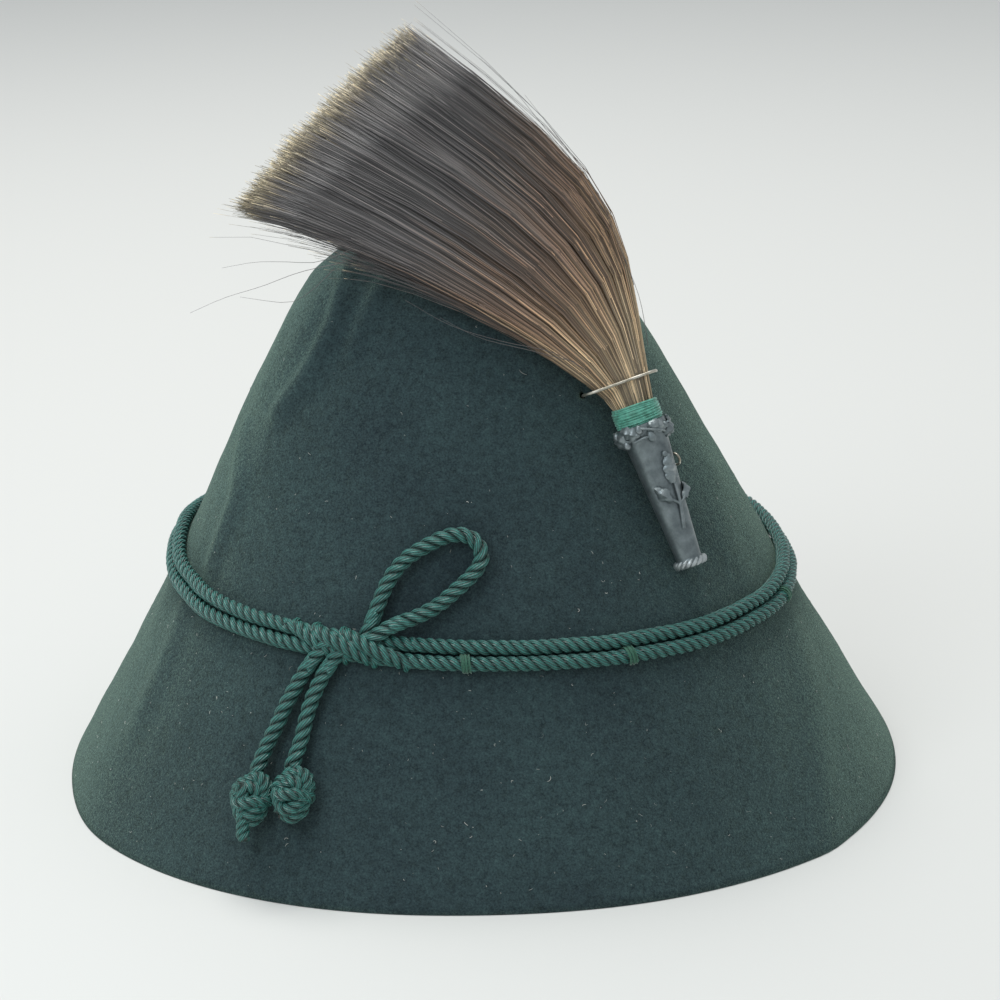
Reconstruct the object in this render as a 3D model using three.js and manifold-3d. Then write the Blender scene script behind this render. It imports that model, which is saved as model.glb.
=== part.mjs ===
// Tyrolean felt hat with a doubled twisted cord, a half bow and a hair brush in a cast holder.
// Millimetres, +Z up. The origin is the middle of the hem, on the surface the hat stands on.
// -X is the front of the hat, and -Y is the side that carries the bow and the brush.
import * as THREE from "three";
import { mergeVertices } from "three/addons/utils/BufferGeometryUtils.js";
import Module from "manifold-3d";

const wasm = await Module();
wasm.setup();

// Felt body
const HEM_LENGTH = 275.6;
const HEM_WIDTH = 244.4;
const HAT_HEIGHT = 188;
const FELT_WALL = 2.2;
const CROWN_LEAN = 8;
const SECTION_FULLNESS = 2.2;
const CREASE_DEPTH = 9;
const CREASE_HALF_WIDTH = 11;
const FOLD_RAISE = 2.2;
const FOLD_HALF_WIDTH = 12;

// Cord
const BAND_CORD_DIAMETER = 4.7;
const BAND_HEIGHT = 68.9;
const BAND_FRONT_TILT = 3.2;
const BAND_FAR_TILT = 3;
const BAND_FRONT_RISE = 4;
const BAND_RISE_ANGLE = 16;
const CORD_DIAMETER = 5.2;
const END_KNOT_LENGTH = 17.6;
const END_KNOT_WIDTH = 13.8;
const END_KNOT_THICKNESS = 12.4;

// Cast holder
const HOLDER_LENGTH = 46;
const COLLAR_DIAMETER = 16.8;
const FOOT_DIAMETER = 9.6;
const CUP_WALL = 0.9;
const RELIEF_HEIGHT = 0.9;

// Hair brush and the thread round its root
const HAIR_LENGTH = 140;
const ROOT_DIAMETER = 13.2;
const LOCK_THICKNESS = 7;
const WRAP_THREAD = 1.1;
const WRAP_TURNS = 5;

// Wires
const PIN_WIRE = 1;
const PIN_EYE_DIAMETER = 5;
const STAPLE_WIRE = 1.1;
const STAPLE_SPAN = 21;
const CLINCH_LENGTH = 7;

// Clearances
const SEAT_GAP = 0.3;
const CORD_GAP = 0.45;

// Sections of the felt: shares of the hat's height and of the hem's length and width
const SECTIONS = [
  { height: 0, length: 1, width: 1 },
  { height: 0.186, length: 0.851, width: 0.832 },
  { height: 0.372, length: 0.709, width: 0.672 },
  { height: 0.559, length: 0.576, width: 0.521 },
  { height: 0.745, length: 0.449, width: 0.378 },
  { height: 0.825, length: 0.384, width: 0.306 },
  { height: 0.878, length: 0.326, width: 0.246 },
  { height: 0.92, length: 0.254, width: 0.184 },
  { height: 0.952, length: 0.188, width: 0.134 },
  { height: 0.979, length: 0.115, width: 0.082 },
  { height: 0.995, length: 0.052, width: 0.037 },
  { height: 1, length: 0, width: 0 },
];

// Heights of the felt's rings, as shares of the hat's height
const RING_HEIGHTS = [
  0, 0.05, 0.12, 0.2, 0.28, 0.33, 0.36, 0.4, 0.46, 0.54, 0.62, 0.7, 0.77, 0.83, 0.878, 0.92, 0.952,
  0.979, 0.995,
];
const FELT_COLUMNS = 52;

// Folds: plan angle in degrees and height share at both ends, width and raise as shares of the fold sizes.
// A fold with fade 1 dies out at its foot, and with fade 0 it runs on to the hem.
const FOLDS = [
  { name: "front pinch", topAngle: 180, top: 0.95, footAngle: 180, foot: 0.62,
    width: 0.9, raise: -0.9, fade: 1 },
  { name: "bow side crown ridge", topAngle: -151, top: 0.96, footAngle: -146, foot: 0.7,
    width: 0.65, raise: 1.5, fade: 1 },
  { name: "bow side flank ridge", topAngle: -149, top: 0.74, footAngle: -157, foot: 0.38,
    width: 0.85, raise: 1.1, fade: 1 },
  { name: "bow side small ridge", topAngle: -128, top: 0.93, footAngle: -133, foot: 0.78,
    width: 0.5, raise: 0.6, fade: 1 },
  { name: "bow side brim ridge", topAngle: -160, top: 0.36, footAngle: -154, foot: 0,
    width: 1.5, raise: 0.8, fade: 0 },
  { name: "bow side front corner", topAngle: -140, top: 0.3, footAngle: -143, foot: 0,
    width: 2.2, raise: 0.3, fade: 0 },
  { name: "bow side rear ridge", topAngle: -33, top: 0.66, footAngle: -23, foot: 0.38,
    width: 1.2, raise: 0.7, fade: 1 },
  { name: "bow side rear corner", topAngle: -20, top: 0.34, footAngle: -40, foot: 0,
    width: 1.6, raise: 0.9, fade: 0 },
  { name: "far side crown ridge", topAngle: 151, top: 0.96, footAngle: 146, foot: 0.7,
    width: 0.65, raise: 1.5, fade: 1 },
  { name: "far side brim ridge", topAngle: 158, top: 0.36, footAngle: 152, foot: 0,
    width: 1.5, raise: 0.9, fade: 0 },
  { name: "far side rear ridge", topAngle: 33, top: 0.6, footAngle: 36, foot: 0,
    width: 2, raise: 1.2, fade: 0 },
];

// The hanging ends and the loop of the half bow: routes of the cord's middle line, in millimetres
const TAIL_LEFT_ROUTE = [
  [-50.1, -80.5, 64.6],
  [-52.4, -81.3, 61.6],
  [-54.6, -82.3, 58.6],
  [-56.5, -83.3, 55.4],
  [-58.4, -84.5, 52.3],
  [-60.1, -85.7, 49],
  [-61.7, -87, 45.8],
  [-63.5, -88.3, 42.6],
  [-65.2, -89.5, 39.4],
  [-66.6, -91.6, 36.5],
  [-67.9, -93.8, 33.6],
];
const TAIL_RIGHT_ROUTE = [
  [-44.6, -82.6, 64.4],
  [-46.6, -83.4, 61.8],
  [-48.3, -84.4, 59],
  [-49.8, -85.6, 56.2],
  [-51.1, -86.8, 53.3],
  [-52.1, -88.2, 50.4],
  [-53, -89.7, 47.5],
  [-53.8, -91.1, 44.5],
  [-54.8, -92.6, 41.6],
  [-55.9, -94.6, 39.1],
  [-57.1, -96.5, 36.6],
];
const BOW_LOOP_ROUTE = [
  [-32.7, -79.9, 74.9],
  [-31.3, -78.4, 78.3],
  [-29.9, -76.9, 81.6],
  [-28.3, -75.4, 84.9],
  [-26.4, -74.1, 88],
  [-24, -73, 90.9],
  [-21.1, -72.1, 93.4],
  [-17.8, -71.5, 95.4],
  [-14.3, -70.9, 97.1],
  [-10.7, -70.3, 98.6],
  [-6.9, -70.1, 99.4],
  [-3, -70.4, 98.8],
  [-0.2, -71.6, 96.5],
  [0.7, -73.4, 93.1],
  [-0.9, -75, 90],
  [-3.6, -76.4, 87.4],
  [-6.5, -77.5, 85.1],
  [-9.5, -78.7, 82.8],
  [-12.6, -79.6, 80.6],
  [-16, -80.7, 79],
  [-19.6, -81.8, 77.7],
  [-23.3, -82.5, 76.7],
  [-26.9, -83.1, 75.4],
];

// Places on the felt: plan angle in degrees and height of the point of the felt behind each piece
const KNOT_START_ANGLE = -128.5;
const KNOT_END_ANGLE = -103;
const END_KNOT_LEFT = { angle: -125.5, height: 24.7 };
const END_KNOT_RIGHT = { angle: -119.3, height: 27.6 };
const HOLDER_FOOT = { angle: -42.2, height: 82 };
const HOLDER_COLLAR = { angle: -41, height: 120.5 };

// Edges of the hair's fan, from its root: across and up, as shares of the hair's length
const FAN_UPPER_EDGE = [
  { across: -0.027, up: 0.379 },
  { across: 0.044, up: 0.436 },
  { across: -0.481, up: 0.793 },
];
const FAN_LOWER_EDGE = [
  { across: -0.065, up: 0.128 },
  { across: -0.66, up: 0.416 },
  { across: -0.849, up: 0.453 },
];
const FAN_BACKWARD_SLOPE = 0.5;
const FAN_SWING = 11;
const FAN_SWING_REACH = 20;

const HALF_LENGTH = HEM_LENGTH / 2;
const HALF_WIDTH = HEM_WIDTH / 2;
const degrees = THREE.MathUtils.degToRad;
const smoothstep = THREE.MathUtils.smoothstep;
const lerp = THREE.MathUtils.lerp;

// A section's share at any height, on a smooth curve through the table's rows.
function sectionShare(column, height) {
  const rows = SECTIONS;
  let i = rows.findIndex((row) => row.height > height) - 1;
  if (i < 0) i = height <= 0 ? 0 : rows.length - 2;
  const slopeAt = (k) => {
    const before = rows[Math.max(k - 1, 0)];
    const after = rows[Math.min(k + 1, rows.length - 1)];
    return (after[column] - before[column]) / (after.height - before.height);
  };
  const low = rows[i];
  const high = rows[i + 1];
  const step = high.height - low.height;
  const t = (height - low.height) / step;
  const startWeight = (1 + 2 * t) * (1 - t) ** 2;
  const startSlope = t * (1 - t) ** 2 * step * slopeAt(i);
  const endSlope = t * t * (t - 1) * step * slopeAt(i + 1);
  return startWeight * low[column] + startSlope + (1 - startWeight) * high[column] + endSlope;
}

// How far the folds push the felt outwards at a plan angle and height share.
function foldRaise(angle, height, radius) {
  return FOLDS.reduce((sum, fold) => {
    const along = (height - fold.foot) / (fold.top - fold.foot);
    const ridgeAngle = lerp(fold.footAngle, fold.topAngle, THREE.MathUtils.clamp(along, 0, 1));
    const fromRidge = angle - degrees(ridgeAngle) + Math.PI;
    const turn = THREE.MathUtils.euclideanModulo(fromRidge, 2 * Math.PI) - Math.PI;
    const across = (turn * radius) / (fold.width * FOLD_HALF_WIDTH);
    const topFade = 1 - smoothstep(along, 0.65, 1);
    const footFade = fold.fade ? smoothstep(along, 0, 0.35) : 1;
    return sum + fold.raise * FOLD_RAISE * Math.exp(-across * across) * topFade * footFade;
  }, 0);
}

// The crown's lengthwise crease lowers the top along the X axis.
function creaseDrop(y, height) {
  const across = y / CREASE_HALF_WIDTH;
  return CREASE_DEPTH * Math.exp(-across * across) * smoothstep(height, 0.86, 0.975);
}

// A point of the felt's outer face at a plan angle in radians and a height share.
function feltPoint(angle, height) {
  const halfLength = HALF_LENGTH * sectionShare("length", height);
  const halfWidth = HALF_WIDTH * sectionShare("width", height);
  const lean = CROWN_LEAN * height ** 1.8;
  if (height >= 1) return new THREE.Vector3(-lean, 0, HAT_HEIGHT - creaseDrop(0, 1));
  const n = SECTION_FULLNESS;
  const sum = Math.abs(Math.cos(angle) / halfLength) ** n + Math.abs(Math.sin(angle) / halfWidth) ** n;
  const plain = sum ** (-1 / n);
  const radius = plain + foldRaise(angle, height, plain) * smoothstep(plain, 8, 30);
  const y = radius * Math.sin(angle);
  const z = height * HAT_HEIGHT - creaseDrop(y, height);
  return new THREE.Vector3(radius * Math.cos(angle) - lean, y, z);
}

// Unit vectors at a point of the felt: out of the felt, up its slope, and round it.
function feltFrame(angle, height) {
  const small = 0.004;
  const top = Math.min(height + small, 0.999);
  const up = feltPoint(angle, top).sub(feltPoint(angle, Math.max(top - 2 * small, 0))).normalize();
  const round = feltPoint(angle + small, height).sub(feltPoint(angle - small, height)).normalize();
  const out = new THREE.Vector3().crossVectors(round, up).normalize();
  return { out, up, round };
}

// A place at a height in millimetres, lifted off the felt.
function overFelt(angle, millimetres, lift) {
  const height = millimetres / HAT_HEIGHT;
  const frame = feltFrame(angle, height);
  return { ...frame, point: feltPoint(angle, height).addScaledVector(frame.out, lift) };
}

// Solids for joining and cutting
function toSolid(geometry) {
  const bare = (geometry.index ? geometry.toNonIndexed() : geometry).clone();
  bare.deleteAttribute("normal");
  bare.deleteAttribute("uv");
  const merged = mergeVertices(bare, 1e-3);
  return new wasm.Manifold(
    new wasm.Mesh({
      numProp: 3,
      vertProperties: merged.attributes.position.array,
      triVerts: new Uint32Array(merged.index.array),
    }),
  );
}

function toGeometry(solid) {
  const mesh = solid.getMesh();
  const geometry = new THREE.BufferGeometry();
  geometry.setAttribute("position", new THREE.BufferAttribute(mesh.vertProperties, 3));
  geometry.setIndex(new THREE.BufferAttribute(mesh.triVerts, 1));
  const faceted = geometry.toNonIndexed();
  faceted.computeVertexNormals();
  return faceted;
}

function fuse(geometries) {
  return toGeometry(geometries.map(toSolid).reduce((whole, piece) => whole.add(piece)));
}

// A closed body through rings of equal point counts. The rings turn anticlockwise seen from the last one.
function loft(rings, startTip, endTip) {
  const sides = rings[0].length;
  const points = [...rings.flat(), startTip, endTip];
  const start = points.length - 2;
  const end = points.length - 1;
  const faces = [];
  for (let side = 0; side < sides; side++) {
    const next = (side + 1) % sides;
    faces.push(start, next, side);
    for (let ring = 0; ring < rings.length - 1; ring++) {
      const low = ring * sides;
      const high = low + sides;
      faces.push(low + side, low + next, high + next);
      faces.push(low + side, high + next, high + side);
    }
    const last = (rings.length - 1) * sides;
    faces.push(end, last + side, last + next);
  }
  const geometry = new THREE.BufferGeometry().setFromPoints(points);
  geometry.setIndex(faces);
  return geometry;
}

// A round bar along a smooth path.
function tube(path, radius, sides, steps) {
  const section = new THREE.Shape(
    Array.from({ length: sides }, (_, i) => {
      const turn = (2 * Math.PI * i) / sides;
      return new THREE.Vector2(radius * Math.cos(turn), radius * Math.sin(turn));
    }),
  );
  return new THREE.ExtrudeGeometry(section, { steps, extrudePath: path, bevelEnabled: false });
}

const toPath = (points) => new THREE.CatmullRomCurve3(points, false, "centripetal");
const routePath = (route) => toPath(route.map((point) => new THREE.Vector3(...point)));

const hat = new THREE.Group();

function addPiece(name, geometry, colour, roughness, metalness = 0) {
  const material = new THREE.MeshStandardMaterial({ color: colour, roughness, metalness });
  const mesh = new THREE.Mesh(geometry, material);
  mesh.name = name;
  hat.add(mesh);
}

const FELT_GREEN = 0x16281f;
const CORD_GREEN = 0x14473a;
const HAIR_BROWN = 0x4a3a2c;
const THREAD_GREEN = 0x0f5a45;
const PEWTER = 0x4c4f52;
const STEEL = 0x9a968a;

// Felt body: outer face, inner face one wall inside it, and a flat hem ring
function feltGeometry() {
  const columns = FELT_COLUMNS;
  const angles = Array.from({ length: columns }, (_, i) => (2 * Math.PI * i) / columns);
  const outer = RING_HEIGHTS.map((height) => angles.map((angle) => feltPoint(angle, height)));
  const inner = RING_HEIGHTS.map((height, ring) =>
    angles.map((angle, column) => {
      const { out } = feltFrame(angle, height);
      const point = outer[ring][column].clone();
      if (height > 0) return point.addScaledVector(out, -FELT_WALL);
      const level = Math.hypot(out.x, out.y);
      const inward = new THREE.Vector3(-out.x, -out.y, 0).divideScalar(level);
      return point.addScaledVector(inward, FELT_WALL / level);
    }),
  );
  const top = feltPoint(0, 1);
  const points = [...outer.flat(), ...inner.flat(), top, top.clone().setZ(top.z - FELT_WALL)];
  const rings = RING_HEIGHTS.length;
  const faces = [];
  const quad = (a, b, c, d) => faces.push(a, b, c, a, c, d);
  for (let column = 0; column < columns; column++) {
    const next = (column + 1) % columns;
    const inside = rings * columns;
    for (let ring = 0; ring < rings - 1; ring++) {
      const low = ring * columns;
      const high = low + columns;
      quad(low + column, low + next, high + next, high + column);
      quad(inside + low + next, inside + low + column, inside + high + column, inside + high + next);
    }
    const last = (rings - 1) * columns;
    faces.push(last + column, last + next, 2 * inside);
    faces.push(inside + last + next, inside + last + column, 2 * inside + 1);
    quad(inside + column, inside + next, next, column);
  }
  const geometry = new THREE.BufferGeometry().setFromPoints(points);
  geometry.setIndex(faces);
  return geometry;
}

// Cord turns: they lie one above the other on the felt, and both end at the knot
const bandRadius = BAND_CORD_DIAMETER / 2;

// The turns slope gently, and they ride up where they pass the front of the crown.
function bandHeight(angle) {
  const fromFront = Math.atan2(Math.sin(angle), -Math.cos(angle)) / degrees(BAND_RISE_ANGLE);
  const slope = BAND_FAR_TILT * Math.sin(angle) - BAND_FRONT_TILT * Math.cos(angle);
  return BAND_HEIGHT + slope + BAND_FRONT_RISE * Math.exp(-fromFront * fromFront);
}

function bandPoint(angle, side, lift = bandRadius + CORD_GAP) {
  const place = overFelt(angle, bandHeight(angle), lift);
  return place.point.addScaledVector(place.up, side * (bandRadius + SEAT_GAP / 2));
}

function turnGeometry(side) {
  const start = degrees(KNOT_END_ANGLE);
  const end = degrees(KNOT_START_ANGLE + 360);
  const stops = 72;
  const points = Array.from({ length: stops + 1 }, (_, i) => bandPoint(lerp(start, end, i / stops), side));
  return tube(toPath(points), bandRadius, 8, 45);
}

// Knot of the half bow: both turns run through it, under three slanting wraps
function knotGeometry() {
  const margin = degrees(0.4);
  const start = degrees(KNOT_START_ANGLE) + margin;
  const end = degrees(KNOT_END_ANGLE) - margin;
  const through = (side) => {
    const points = Array.from({ length: 6 }, (_, i) => bandPoint(lerp(start, end, i / 5), side * 0.9));
    return tube(toPath(points), bandRadius, 8, 4);
  };
  const lift = bandRadius + CORD_GAP;
  const WRAPS = [
    { from: 0.1, to: 0.5, rise: 0.6 },
    { from: 0.3, to: 0.75, rise: 0.8 },
    { from: 0.5, to: 0.95, rise: 0.7 },
  ];
  const wraps = WRAPS.map(({ from, to, rise }) => {
    const points = [0, 0.25, 0.5, 0.75, 1].map((t) => {
      const angle = lerp(start, end, lerp(from, to, t));
      const bulge = Math.sin(Math.PI * t) * rise * BAND_CORD_DIAMETER;
      return bandPoint(angle, lerp(1.25, -1.25, t), lift + bulge);
    });
    return tube(toPath(points), bandRadius, 8, 5);
  });
  return fuse([through(1), through(-1), ...wraps]);
}

// Ball knots at the cord's ends: a round core under two crossing wraps, longer down the felt
function endKnotGeometry(place, lean) {
  const cordRadius = CORD_DIAMETER / 2;
  const wrapRadius = END_KNOT_WIDTH / 2 - cordRadius;
  const stretch = END_KNOT_LENGTH / END_KNOT_WIDTH;
  const core = new THREE.SphereGeometry(END_KNOT_WIDTH / 2 - 0.35 * cordRadius, 8, 6);
  const wraps = [50, -40].map((tilt) => {
    const wrap = new THREE.TorusGeometry(wrapRadius, cordRadius, 6, 10);
    return wrap.rotateY(degrees(90)).rotateX(degrees(lean)).rotateZ(degrees(tilt));
  });
  const at = overFelt(degrees(place.angle), place.height, END_KNOT_THICKNESS / 2);
  const frame = new THREE.Matrix4().makeBasis(at.round, at.up, at.out).setPosition(at.point);
  const whole = fuse([core, ...wraps]);
  return whole.scale(1, stretch, END_KNOT_THICKNESS / END_KNOT_WIDTH).applyMatrix4(frame);
}

// The holder's own frame: Z along its axis from the foot to the mouth, and Y away from the felt
const footPlace = overFelt(degrees(HOLDER_FOOT.angle), HOLDER_FOOT.height, FOOT_DIAMETER / 2 + SEAT_GAP);
const collarPlace = overFelt(
  degrees(HOLDER_COLLAR.angle),
  HOLDER_COLLAR.height,
  COLLAR_DIAMETER / 2 + SEAT_GAP,
);
const holderAxis = collarPlace.point.clone().sub(footPlace.point).normalize();
const holderSide = new THREE.Vector3().crossVectors(footPlace.out, holderAxis).normalize();
const holderOut = new THREE.Vector3().crossVectors(holderAxis, holderSide);
const holderFrame = new THREE.Matrix4()
  .makeBasis(holderSide, holderOut, holderAxis)
  .setPosition(footPlace.point);
const inHolder = (x, y, z) => new THREE.Vector3(x, y, z).applyMatrix4(holderFrame);

const footRadius = FOOT_DIAMETER / 2;
const collarRadius = COLLAR_DIAMETER / 2;
const neckRadius = collarRadius - 2 * RELIEF_HEIGHT;
const shankRadius = footRadius - RELIEF_HEIGHT;
const FOOT_BAND = 2.4;
const COLLAR_BAND = 6;
const CUP_FLOOR = 5;
const mouthRadius = neckRadius - CUP_WALL + RELIEF_HEIGHT;

// Outer radius of the plain taper between foot and collar.
const taperRadius = (z) => lerp(shankRadius, neckRadius, z / (HOLDER_LENGTH - COLLAR_BAND));

const lathe = (profile, sides) =>
  new THREE.LatheGeometry(
    profile.map(([radius, z]) => new THREE.Vector2(radius, z)),
    sides,
  ).rotateX(Math.PI / 2);

// A small rounded lump of the casting, such as a leaf, an acorn or a strand of the rope foot.
function lump(length, width, thickness, angle, z, radius, turn, detail = 0) {
  const shape = new THREE.OctahedronGeometry(1, detail).scale(width / 2, thickness, length / 2);
  shape.rotateY(degrees(turn));
  shape.translate(0, radius, z);
  return shape.rotateZ(degrees(-angle));
}

function holderGeometry() {
  const neck = HOLDER_LENGTH - COLLAR_BAND;
  const lip = HOLDER_LENGTH - 1;
  const cup = lathe(
    [
      [0, 0],
      [footRadius - 0.5, 0],
      [footRadius, 0.6],
      [footRadius, FOOT_BAND - 0.6],
      [shankRadius, FOOT_BAND],
      [neckRadius, neck],
      [collarRadius - RELIEF_HEIGHT, neck + 2],
      [collarRadius - RELIEF_HEIGHT / 2, lip],
      [mouthRadius, HOLDER_LENGTH],
      [taperRadius(CUP_FLOOR) - CUP_WALL, CUP_FLOOR],
      [0, CUP_FLOOR],
    ],
    14,
  );
  const rope = Array.from({ length: 7 }, (_, i) =>
    lump(FOOT_BAND * 1.3, 1.9, RELIEF_HEIGHT * 0.7, -90 + i * 30, FOOT_BAND / 2, footRadius - 0.2, 30),
  );
  const leaves = Array.from({ length: 9 }, (_, i) => {
    const turn = i % 2 ? 50 : -35;
    const z = neck + 2.6 + (i % 2);
    return lump(5.2, 3.4, RELIEF_HEIGHT, -112 + i * 28, z, collarRadius - RELIEF_HEIGHT, turn, 1);
  });
  const SPRIG = [
    { length: 17, width: 1.3, side: 0, z: 21, turn: -3 },
    { length: 9, width: 1.1, side: 22, z: 17, turn: 40 },
    { length: 6.4, width: 3.2, side: -38, z: 22.5, turn: -46 },
    { length: 5.6, width: 2.8, side: 42, z: 23.5, turn: 32 },
    { length: 7.5, width: 3.4, side: -4, z: 30.5, turn: -8 },
    { length: 3, width: 2.4, side: 20, z: 33.5, turn: 0 },
  ];
  const sprig = SPRIG.map(({ length, width, side, z, turn }) =>
    lump(length, width, RELIEF_HEIGHT, side, z, taperRadius(z), turn),
  );
  return fuse([cup, ...rope, ...leaves, ...sprig]).applyMatrix4(holderFrame);
}

// Hair: locks in a front and a back layer, fused to a bound root that stands in the holder
const wrapHeight = WRAP_TURNS * WRAP_THREAD;
const rootRadius = ROOT_DIAMETER / 2 - WRAP_THREAD - SEAT_GAP;
const rootTop = inHolder(0, 0, HOLDER_LENGTH + SEAT_GAP + wrapHeight);
const rootAcross = new THREE.Vector3(holderAxis.z, 0, -holderAxis.x).normalize();

function fanDepth(x, z) {
  const reach = Math.max(rootTop.x - x, 0) / FAN_SWING_REACH;
  return rootTop.y + FAN_BACKWARD_SLOPE * (z - rootTop.z) - FAN_SWING * (1 - Math.exp(-reach));
}

// The path of a lock whose place across the fan runs from -1, the lower edge, to 1, the upper one.
function lockPath(place, reach) {
  const mix = (place + 1) / 2;
  const start = rootTop.clone().addScaledVector(rootAcross, place * rootRadius * 0.8);
  const controls = FAN_LOWER_EDGE.map((lower, i) => {
    const upper = FAN_UPPER_EDGE[i];
    const x = rootTop.x + HAIR_LENGTH * reach * lerp(lower.across, upper.across, mix);
    const z = rootTop.z + HAIR_LENGTH * reach * lerp(lower.up, upper.up, mix);
    return new THREE.Vector3(x, 0, z);
  });
  return new THREE.CubicBezierCurve3(start, ...controls);
}

// Share of the way along a lock, its width as a share of the room it has, and its thickness share.
const LOCK_STATIONS = [
  { along: 0, width: 1.25, thickness: 1.1 },
  { along: 0.14, width: 1.3, thickness: 1.05 },
  { along: 0.34, width: 1.25, thickness: 1 },
  { along: 0.58, width: 1.15, thickness: 0.9 },
  { along: 0.82, width: 1.05, thickness: 0.72 },
  { along: 1, width: 0.78, thickness: 0.4 },
];

function lockGeometry(place, room, layer, reach) {
  const path = lockPath(place, reach);
  const below = lockPath(place - room / 2, reach);
  const above = lockPath(place + room / 2, reach);
  const outermost = 1 - 0.4 * place * place;
  const rings = LOCK_STATIONS.map(({ along, width, thickness }) => {
    const centre = path.getPoint(along);
    const across = above.getPoint(along).sub(below.getPoint(along));
    across.y = 0;
    const half = across.multiplyScalar(width / 2);
    const depth = (LOCK_THICKNESS / 2) * thickness * outermost;
    const middle = fanDepth(centre.x, centre.z) + layer * LOCK_THICKNESS * 0.3 * outermost * (0.4 + along);
    const blend = smoothstep(along, 0, 0.3);
    return Array.from({ length: 6 }, (_, i) => {
      const turn = (Math.PI * i) / 3;
      const point = centre.clone().addScaledVector(half, Math.cos(turn));
      point.y = lerp(rootTop.y, middle, blend) + depth * Math.sin(turn);
      return point;
    });
  });
  const sumOf = (ring) => ring.reduce((sum, point) => sum.add(point), new THREE.Vector3());
  const middleOf = (ring) => sumOf(ring).divideScalar(6);
  return loft(rings, middleOf(rings[0]), middleOf(rings[rings.length - 1]));
}

const LOCKS = [
  { place: -0.86, layer: -1, reach: 0.97 },
  { place: -0.42, layer: -1, reach: 1.02 },
  { place: 0, layer: -1, reach: 1 },
  { place: 0.42, layer: -1, reach: 1.03 },
  { place: 0.86, layer: -1, reach: 0.99 },
  { place: -0.64, layer: 1, reach: 1.01 },
  { place: -0.2, layer: 1, reach: 0.98 },
  { place: 0.22, layer: 1, reach: 1.01 },
  { place: 0.64, layer: 1, reach: 1 },
];
const LOCK_ROOM = 0.48;

function brushGeometry() {
  const seat = CUP_FLOOR + 1;
  const stubRadius = taperRadius(seat) - CUP_WALL - SEAT_GAP;
  const above = HOLDER_LENGTH + wrapHeight + 4;
  const root = lathe(
    [
      [0, seat],
      [stubRadius - 0.4, seat],
      [rootRadius, HOLDER_LENGTH],
      [rootRadius, above],
      [rootRadius * 0.6, above + 3],
      [0, above + 3],
    ],
    12,
  ).applyMatrix4(holderFrame);
  const locks = LOCKS.map(({ place, layer, reach }) => lockGeometry(place, LOCK_ROOM, layer, reach));
  return fuse([root, ...locks]);
}

// Thread wound round the root: one ring with a rounded ridge for each turn
function wrapGeometry() {
  const base = HOLDER_LENGTH + SEAT_GAP;
  const inside = rootRadius + SEAT_GAP;
  const profile = [[inside, base]];
  for (let turn = 0; turn < WRAP_TURNS; turn++) {
    profile.push([ROOT_DIAMETER / 2 - 0.35, base + turn * WRAP_THREAD]);
    profile.push([ROOT_DIAMETER / 2, base + (turn + 0.5) * WRAP_THREAD]);
  }
  profile.push([ROOT_DIAMETER / 2 - 0.35, base + wrapHeight]);
  profile.push([inside, base + wrapHeight]);
  profile.push([inside, base]);
  return lathe(profile, 12).applyMatrix4(holderFrame);
}

// A wire leg from its head straight through the felt at a place, clinched along the inside of the hat.
function clinchedLeg(head, place, clinch, wire) {
  const through = place.point.clone().sub(head).normalize();
  const depth = (FELT_WALL + SEAT_GAP + wire) / -through.dot(place.out);
  const turned = place.point.clone().addScaledVector(through, depth);
  const bend = place.point.clone().addScaledVector(through, depth - wire);
  bend.addScaledVector(clinch, wire * 0.3);
  turned.addScaledVector(clinch, wire);
  return [place.point, bend, turned, turned.clone().addScaledVector(clinch, CLINCH_LENGTH)];
}

// The hole that a wire leg passes through.
function legHole(head, place, wire) {
  const hole = new THREE.CylinderGeometry(wire / 2 + CORD_GAP, wire / 2 + CORD_GAP, 6 * FELT_WALL, 8);
  const through = place.point.clone().sub(head).normalize();
  const turn = new THREE.Quaternion().setFromUnitVectors(new THREE.Vector3(0, 1, 0), through);
  return hole.applyQuaternion(turn).translate(...place.point);
}

// Pin: a round eye beside the collar, a leg through the felt and a clinched end inside the hat
const pinPlace = overFelt(degrees(HOLDER_COLLAR.angle + 5), HOLDER_COLLAR.height - 10, 0);
const pinStandOff = COLLAR_DIAMETER / 2 - PIN_EYE_DIAMETER / 2 - PIN_WIRE;
const pinHead = pinPlace.point.clone().addScaledVector(pinPlace.out, pinStandOff);

function pinGeometry() {
  const eyeRadius = (PIN_EYE_DIAMETER - PIN_WIRE) / 2;
  const centre = pinHead.clone().addScaledVector(pinPlace.out, eyeRadius + PIN_WIRE);
  const eye = Array.from({ length: 9 }, (_, i) => {
    const turn = degrees(-140 + i * 35);
    const point = centre.clone().addScaledVector(pinPlace.up, eyeRadius * Math.sin(turn));
    return point.addScaledVector(pinPlace.out, eyeRadius * Math.cos(turn));
  });
  const leg = clinchedLeg(pinHead, pinPlace, pinPlace.up.clone().negate(), PIN_WIRE);
  return tube(toPath([...leg.reverse(), pinHead, ...eye]), PIN_WIRE / 2, 6, 20);
}

// Staple: a bar across the front of the hair, hooked at one end, with a leg through the felt at the other
const STAPLE_ALONG = 0.085;
const STAPLE_LEFT_SHARE = 0.6;
const stapleMiddle = lockPath(0, 1).getPoint(STAPLE_ALONG);
stapleMiddle.y = fanDepth(stapleMiddle.x, stapleMiddle.z) - LOCK_THICKNESS * 0.72 - STAPLE_WIRE;
const stapleBar = new THREE.Vector3(0.943, 0.21, 0.262).normalize();
const stapleLeft = stapleMiddle.clone().addScaledVector(stapleBar, -STAPLE_SPAN * STAPLE_LEFT_SHARE);
const stapleRight = stapleMiddle.clone().addScaledVector(stapleBar, STAPLE_SPAN * (1 - STAPLE_LEFT_SHARE));
const staplePlace = overFelt(degrees(HOLDER_COLLAR.angle - 8), stapleLeft.z - 3.5, 0);
const HOOK_LENGTH = 6;

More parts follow.
